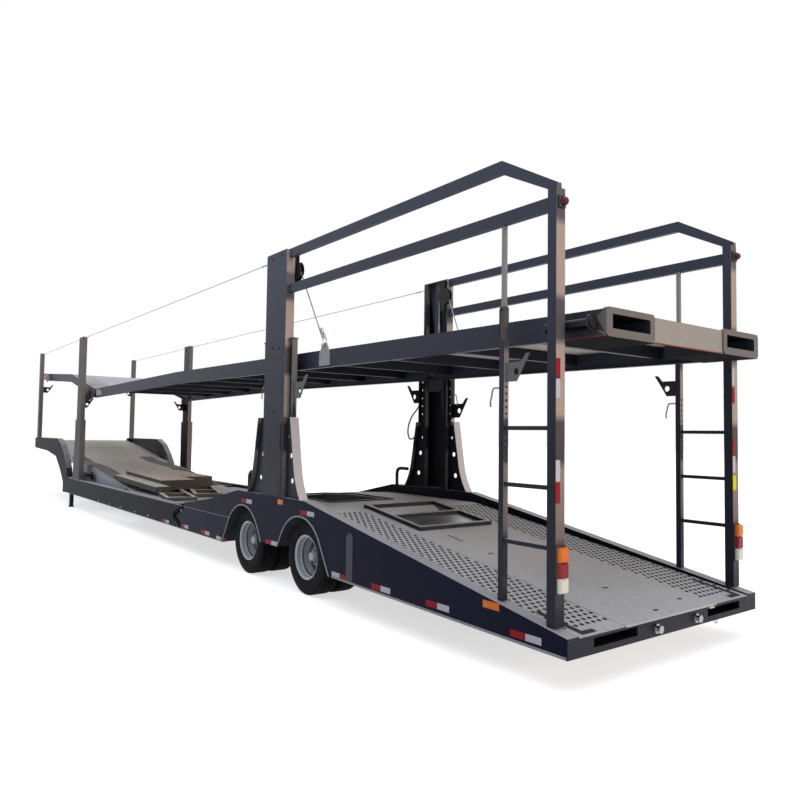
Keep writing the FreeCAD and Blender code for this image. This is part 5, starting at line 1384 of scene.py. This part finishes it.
hatch_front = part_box("hatch_frame")[1].x
slope_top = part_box("rear_centre_plate")[1].z
marks = [cut_plate((hatch_front + 0.020, -0.42, slope_top - 0.001),
                   (hatch_front + 0.045, 0.10, slope_top + 0.0012), bevel=0.0004,
                   recess=(2, 1, 0.002, 0.0004))]
RED_MARKS = (("rear_centre_plate", 2.20, 0.30, 0.16, 0.030), ("hump_deck", 3.79, 0.17, 0.24, 0.055),
             ("hump_deck", 3.90, 0.86, 0.12, 0.040))
for part, metres, across, long_by, wide in RED_MARKS:
    line = line_on(part, metres - long_by / 2, metres + long_by / 2, 1, across, 0.0006)
    marks.append(run(line, wide, 0.0014, bevel=0.0003))
keep(joined(marks), "red_deck_marks", red_paint)
print("red paint:", last_made(2))

# %% [markdown]
# ## Rim of the axle opening, and kerb slots
#
# The long opening over the axles is edged with thin bar that stands a little above the deck. At the
# very rear, narrow slots lie beside the kerbs: they are shown by a skin of painted shade on the sheet.

# %% Rim and slots
RIM, RIM_ACROSS = 0.016, 0.462
OPENING_REAR, OPENING_FRONT = 4.24, 5.88
SKIN = 0.0016
rim_bars = []
for text, side in SIDES:
    line = line_on("hump_deck", OPENING_REAR, OPENING_FRONT, 8, side * RIM_ACROSS, 0.008, probe=side * 0.52)
    rim_bars.append(run(line, RIM, RIM, bevel=0.003))
for metres in (4.222, 5.902):
    top = top_of("hump_deck", metres, 0.3)
    rim_bars.append(cut_plate(at(metres - 0.009, -0.47, top - 0.001), at(metres + 0.009, 0.47, top + RIM),
                              bevel=0.003))
keep(joined(rim_bars), "axle_opening_rim", FINISHES["frame_paint"])
kerb_slots = []
for text, side in SIDES:
    for across, front, wide in ((1.035, 0.45, 0.045), (0.965, 0.075, 0.12)):
        line = line_on("rear_centre_plate", 0.03, front, 1, side * across, 0.0006, probe=0.4)
        kerb_slots.append(run(line, wide, SKIN, bevel=0.0003))
keep(joined(kerb_slots), "kerb_slots", opening_shade)
print("openings:", last_made(2))

# %% [markdown]
# ## Highlight beads
#
# Light beads of painted highlight follow the lower edges of the sides, and the top edges ahead of the
# wheels. Each is a bar of a few millimetres that follows a line of two or three places.

# %% Beads along the sides
# painted highlight: a light bead along the edges of the plates
edge_highlight = simple("painted highlight along plate edges", "8E9093", "6B6D71", 0.6, scale=30.0)
BEADS = (
    # how far out its middle is, its width, its height, its bevel and its (station, height) places
    (0.0035, 0.007, 0.020, 0.002, ((0.010, 0.257), (1.5, 0.2845), (2.92, 0.3105))),
    (0.0035, 0.007, 0.010, 0.002, ((5.62, 0.315), (7.24, 0.315), (14.2, 0.315))),
    (0.0035, 0.007, 0.011, 0.002, ((7.0, 0.6445), (14.0, 0.6445))),
    (0.0020, 0.004, 0.006, 0.001, ((5.40, 0.640), (6.93, 0.640))),
)


def side_run(side, places, out, wide, tall, bevel):
    """A bar on the outer face of a side that follows (station, height) places."""
    line = [at(metres, side * (HALF_WIDTH + out), height) for metres, height in places]
    return run(line, wide, tall, bevel)


for text, side in SIDES:
    beads = [side_run(side, places, out, wide, tall, bevel) for out, wide, tall, bevel, places in BEADS]
    keep(joined(beads), "highlight_bead_" + text, edge_highlight)
print("beads:", last_made(2))

# %% [markdown]
# ## Splice shadow, joint strip and deck slots
#
# Where the well beam is spliced to the rear beam, the gap round the pointed joint is a black strip of
# painted shadow. Behind the wheels a grey strip of plate covers the next joint. Five small slots in the
# centre plate take the feet of wheel chocks: each is an oval ring with a floor of painted shade.

# %% Splice shadow and strip
POINT_TOP, POINT_TIP, POINT_LOW = (6.985, 0.628), (7.375, 0.478), (7.060, 0.345)
for text, side in SIDES:
    # the legs are a black strip of painted shadow round the joint
    legs = [side_run(side, leg, 0.001, 0.007, 0.080, 0.002)
            for leg in ((POINT_TOP, POINT_TIP), (POINT_TIP, POINT_LOW))]
    keep(joined(legs), "splice_shadow_" + text, shade_black)
    strip = side_plate(side, (2.555, 0.312), (2.670, 0.740), 0.003, 0.0012, (0.004, 0.0008))
    strip_end = side_plate(side, (2.575, 0.740), (2.650, 0.765), 0.002, 0.0008, (0.004, 0.0006))
    keep(joined([strip, strip_end]), "joint_strip_" + text, strip_grey)
print("joints:", last_made(4))

# %% Slots for wheel chocks
CHOCK_SLOTS = ((2.08, 0.31), (1.66, 0.32), (0.61, 0.03), (0.11, 0.08), (0.19, -0.38))
SLOT_RIM = ((0.024, 0.0), (0.024, 0.002), (0.019, 0.0035), (0.016, 0.002), (0.016, 0.0002))
SLOT_FLOOR = ((0.018, 0.0), (0.018, 0.0006), (0.010, 0.0008), (0.002, 0.0009))
climb_angle = math.atan2(track_high.z - track_low.z - SHEET, track_length)
oval_on_slope = Matrix.Rotation(-climb_angle, 4, "Y") @ Matrix.Diagonal((1.0, 2.1, 1.0, 1.0)) @ UPRIGHT
slots = [Matrix.Translation(at(metres, across, top_of("rear_centre_plate", metres, across))) @ oval_on_slope
         for metres, across in CHOCK_SLOTS]
rims = dressed(copies_at(SLOT_RIM, 24, slots, ring=True), FINISHES["deck_paint"])
floors = dressed(copies_at(SLOT_FLOOR, 24, slots), opening_shade)
keep(joined([rims, floors]), "chock_slots", None, smooth=35)
print("slots:", len(slots))

# %% [markdown]
# ## A dark strip under the grip bars
#
# The bright grip bars of the neck lie on a strip of deck that is painted near black, so they read as
# lines from afar. The strip is a skin of about a millimetre that follows the deck below them.

# %% Dark strips and the joint across the neck
DARK_ACROSS, DARK_WIDE, DARK_DEEP = 0.784, 0.33, 0.0012
strips = []
for part, start, end in NECK_SLOPE:
    for text, side in SIDES:
        line = line_on(part, start, end, 12, side * DARK_ACROSS, 0.0004)
        strips.append(run(line, DARK_WIDE, DARK_DEEP, bevel=0.0002))
keep(joined(strips), "dark_strip_between_bars", hole_shade_and_dark_strip)
joint_top = top_of("neck_deck", 16.5, 0.2)
joint = cut_plate(at(16.47, -0.62, joint_top - 0.002), at(16.53, 0.62, joint_top + 0.007), bevel=0.002,
                  recess=(2, 1, 0.006, 0.001))
keep(joint, "neck_joint_plate", dusty_lit_tops)
print("neck:", last_made(2))

# %% [markdown]
# ## Ramp pockets, rear hook and lamp
#
# The two slots in the rear beam open into shallow pockets of thin plate, where the ends of the loading
# ramps rest; the plate is painted black as shade, so one sees dark plate through them and not the road.
# Under the beam hangs a small hook for the lashing, beside a small lamp.

# %% Pockets, hook and lamp
HOOK = ((-0.006, -0.560, 0.250), (-0.008, -0.560, 0.238), (-0.010, -0.572, 0.226), (-0.010, -0.592, 0.226),
        (-0.008, -0.604, 0.238), (-0.006, -0.604, 0.250))
for text, side in SIDES:
    pocket = cut_plate(at(0.121, side * 0.470, 0.280), at(0.430, side * 0.980, 0.362), bevel=0.002)
    open_edit()
    pick(pocket, "FACE", lambda face: face.normal.x < -0.9 and face.calc_area() > 0.01)
    bpy.ops.mesh.delete(type="FACE")
    close_edit()
    thicken(pocket, "wall", 0.003, -1)
    keep(pocket, "ramp_pocket_" + text, opening_shade)
hook = bent_bar("hook", [at(*place) for place in HOOK], 0.005)
keep(hook, "lashing_hook", turned_steel, smooth=50)
small_lamp = cut_plate(at(-0.014, -0.485, 0.352), at(-0.0002, -0.555, 0.364), bevel=0.002,
                       recess=(0, -1, 0.003, 0.003))
keep(small_lamp, "plate_lamp", clear_lens)
print("rear beam:", last_made(4))

# %% [markdown]
# ## Hatch panes and pulley cheeks
#
# The hatch over the tool space is closed by two panes of bare sheet, dished a little where people
# have stood on them. A grid is tilted to the slope and its middle is let down by a smooth formula. Each
# rope pulley turns between two black cheek plates with a round outline that reach back past the column.

# %% Two dished panes
bare_sheet = simple("bare galvanised sheet", "A4A8AA", "6F7476", 0.28, metallic=0.8, scale=7.0,
                    depth=0.004, strength=0.5)
PANE_WIDE, PANE_SHEET, DISH = 0.88, 0.0015, 0.006
PLATE_END = 3.37  # the centre plate is measured no further forward than this


def hatch_pane(start, end):
    """A pane of sheet over the hatch, between two stations."""
    rear, front = (top_of("rear_centre_plate", min(metres, PLATE_END), 0.0) for metres in (start, end))
    middle = (start + end) / 2
    deselect()
    bpy.ops.mesh.primitive_grid_add(x_subdivisions=10, y_subdivisions=16, size=1,
                                    location=at(middle, 0.0, (rear + front) / 2 + 0.007))
    pane = bpy.context.object
    pane.scale = (end - start, PANE_WIDE, 1)
    pane.rotation_euler = (0, -math.atan2(front - rear, end - start), 0)
    bake_place(pane)
    for vertex in pane.data.vertices:
        across_by = vertex.co.y / (PANE_WIDE / 2)
        along_by = (vertex.co.x - station(middle)) / ((end - start) / 2)
        vertex.co.z -= DISH * max(0.0, 1 - across_by ** 4) * max(0.0, 1 - along_by ** 4)
    thicken(pane, "sheet", PANE_SHEET, -1)
    return pane


panes = [hatch_pane(2.54, 2.955), hatch_pane(3.005, 3.42)]
keep(joined(panes), "hatch_panes", bare_sheet, smooth=30)
print("panes:", last_made(1))

# %% Cheeks beside the pulleys
CHEEK = ((0.030, 0.0), (0.104, 0.0), (0.106, 0.002), (0.106, 0.004), (0.104, 0.006), (0.030, 0.006))
for text, side in SIDES:
    places = [TO_SIDE[side] @ Matrix.Translation(at(3.985, across, 3.552)) for across in (1.0865, 1.1235)]
    keep(copies_at(CHEEK, 40, places, ring=True), "pulley_cheeks_" + text, black,
         smooth=35)
print("cheeks:", last_made(2))

# %% [markdown]
# ## Filler strips beside the deck
#
# Ahead of the wheels the deck sheet stops short of the thin side plate. A strip of sheet closes that
# gap on each side, so that no light comes up between them.

# %% Filler strips
FILLER_WIDE, FILLER_SHEET = 0.110, 0.005
for text, side in SIDES:
    line = line_on("well_deck", 6.02, 7.40, 9, side * 1.184, -0.005, probe=side * 1.10)
    keep(run(line, FILLER_WIDE, FILLER_SHEET, bevel=0.001), "deck_filler_" + text, FINISHES["deck_paint"])
print("fillers:", last_made(2))
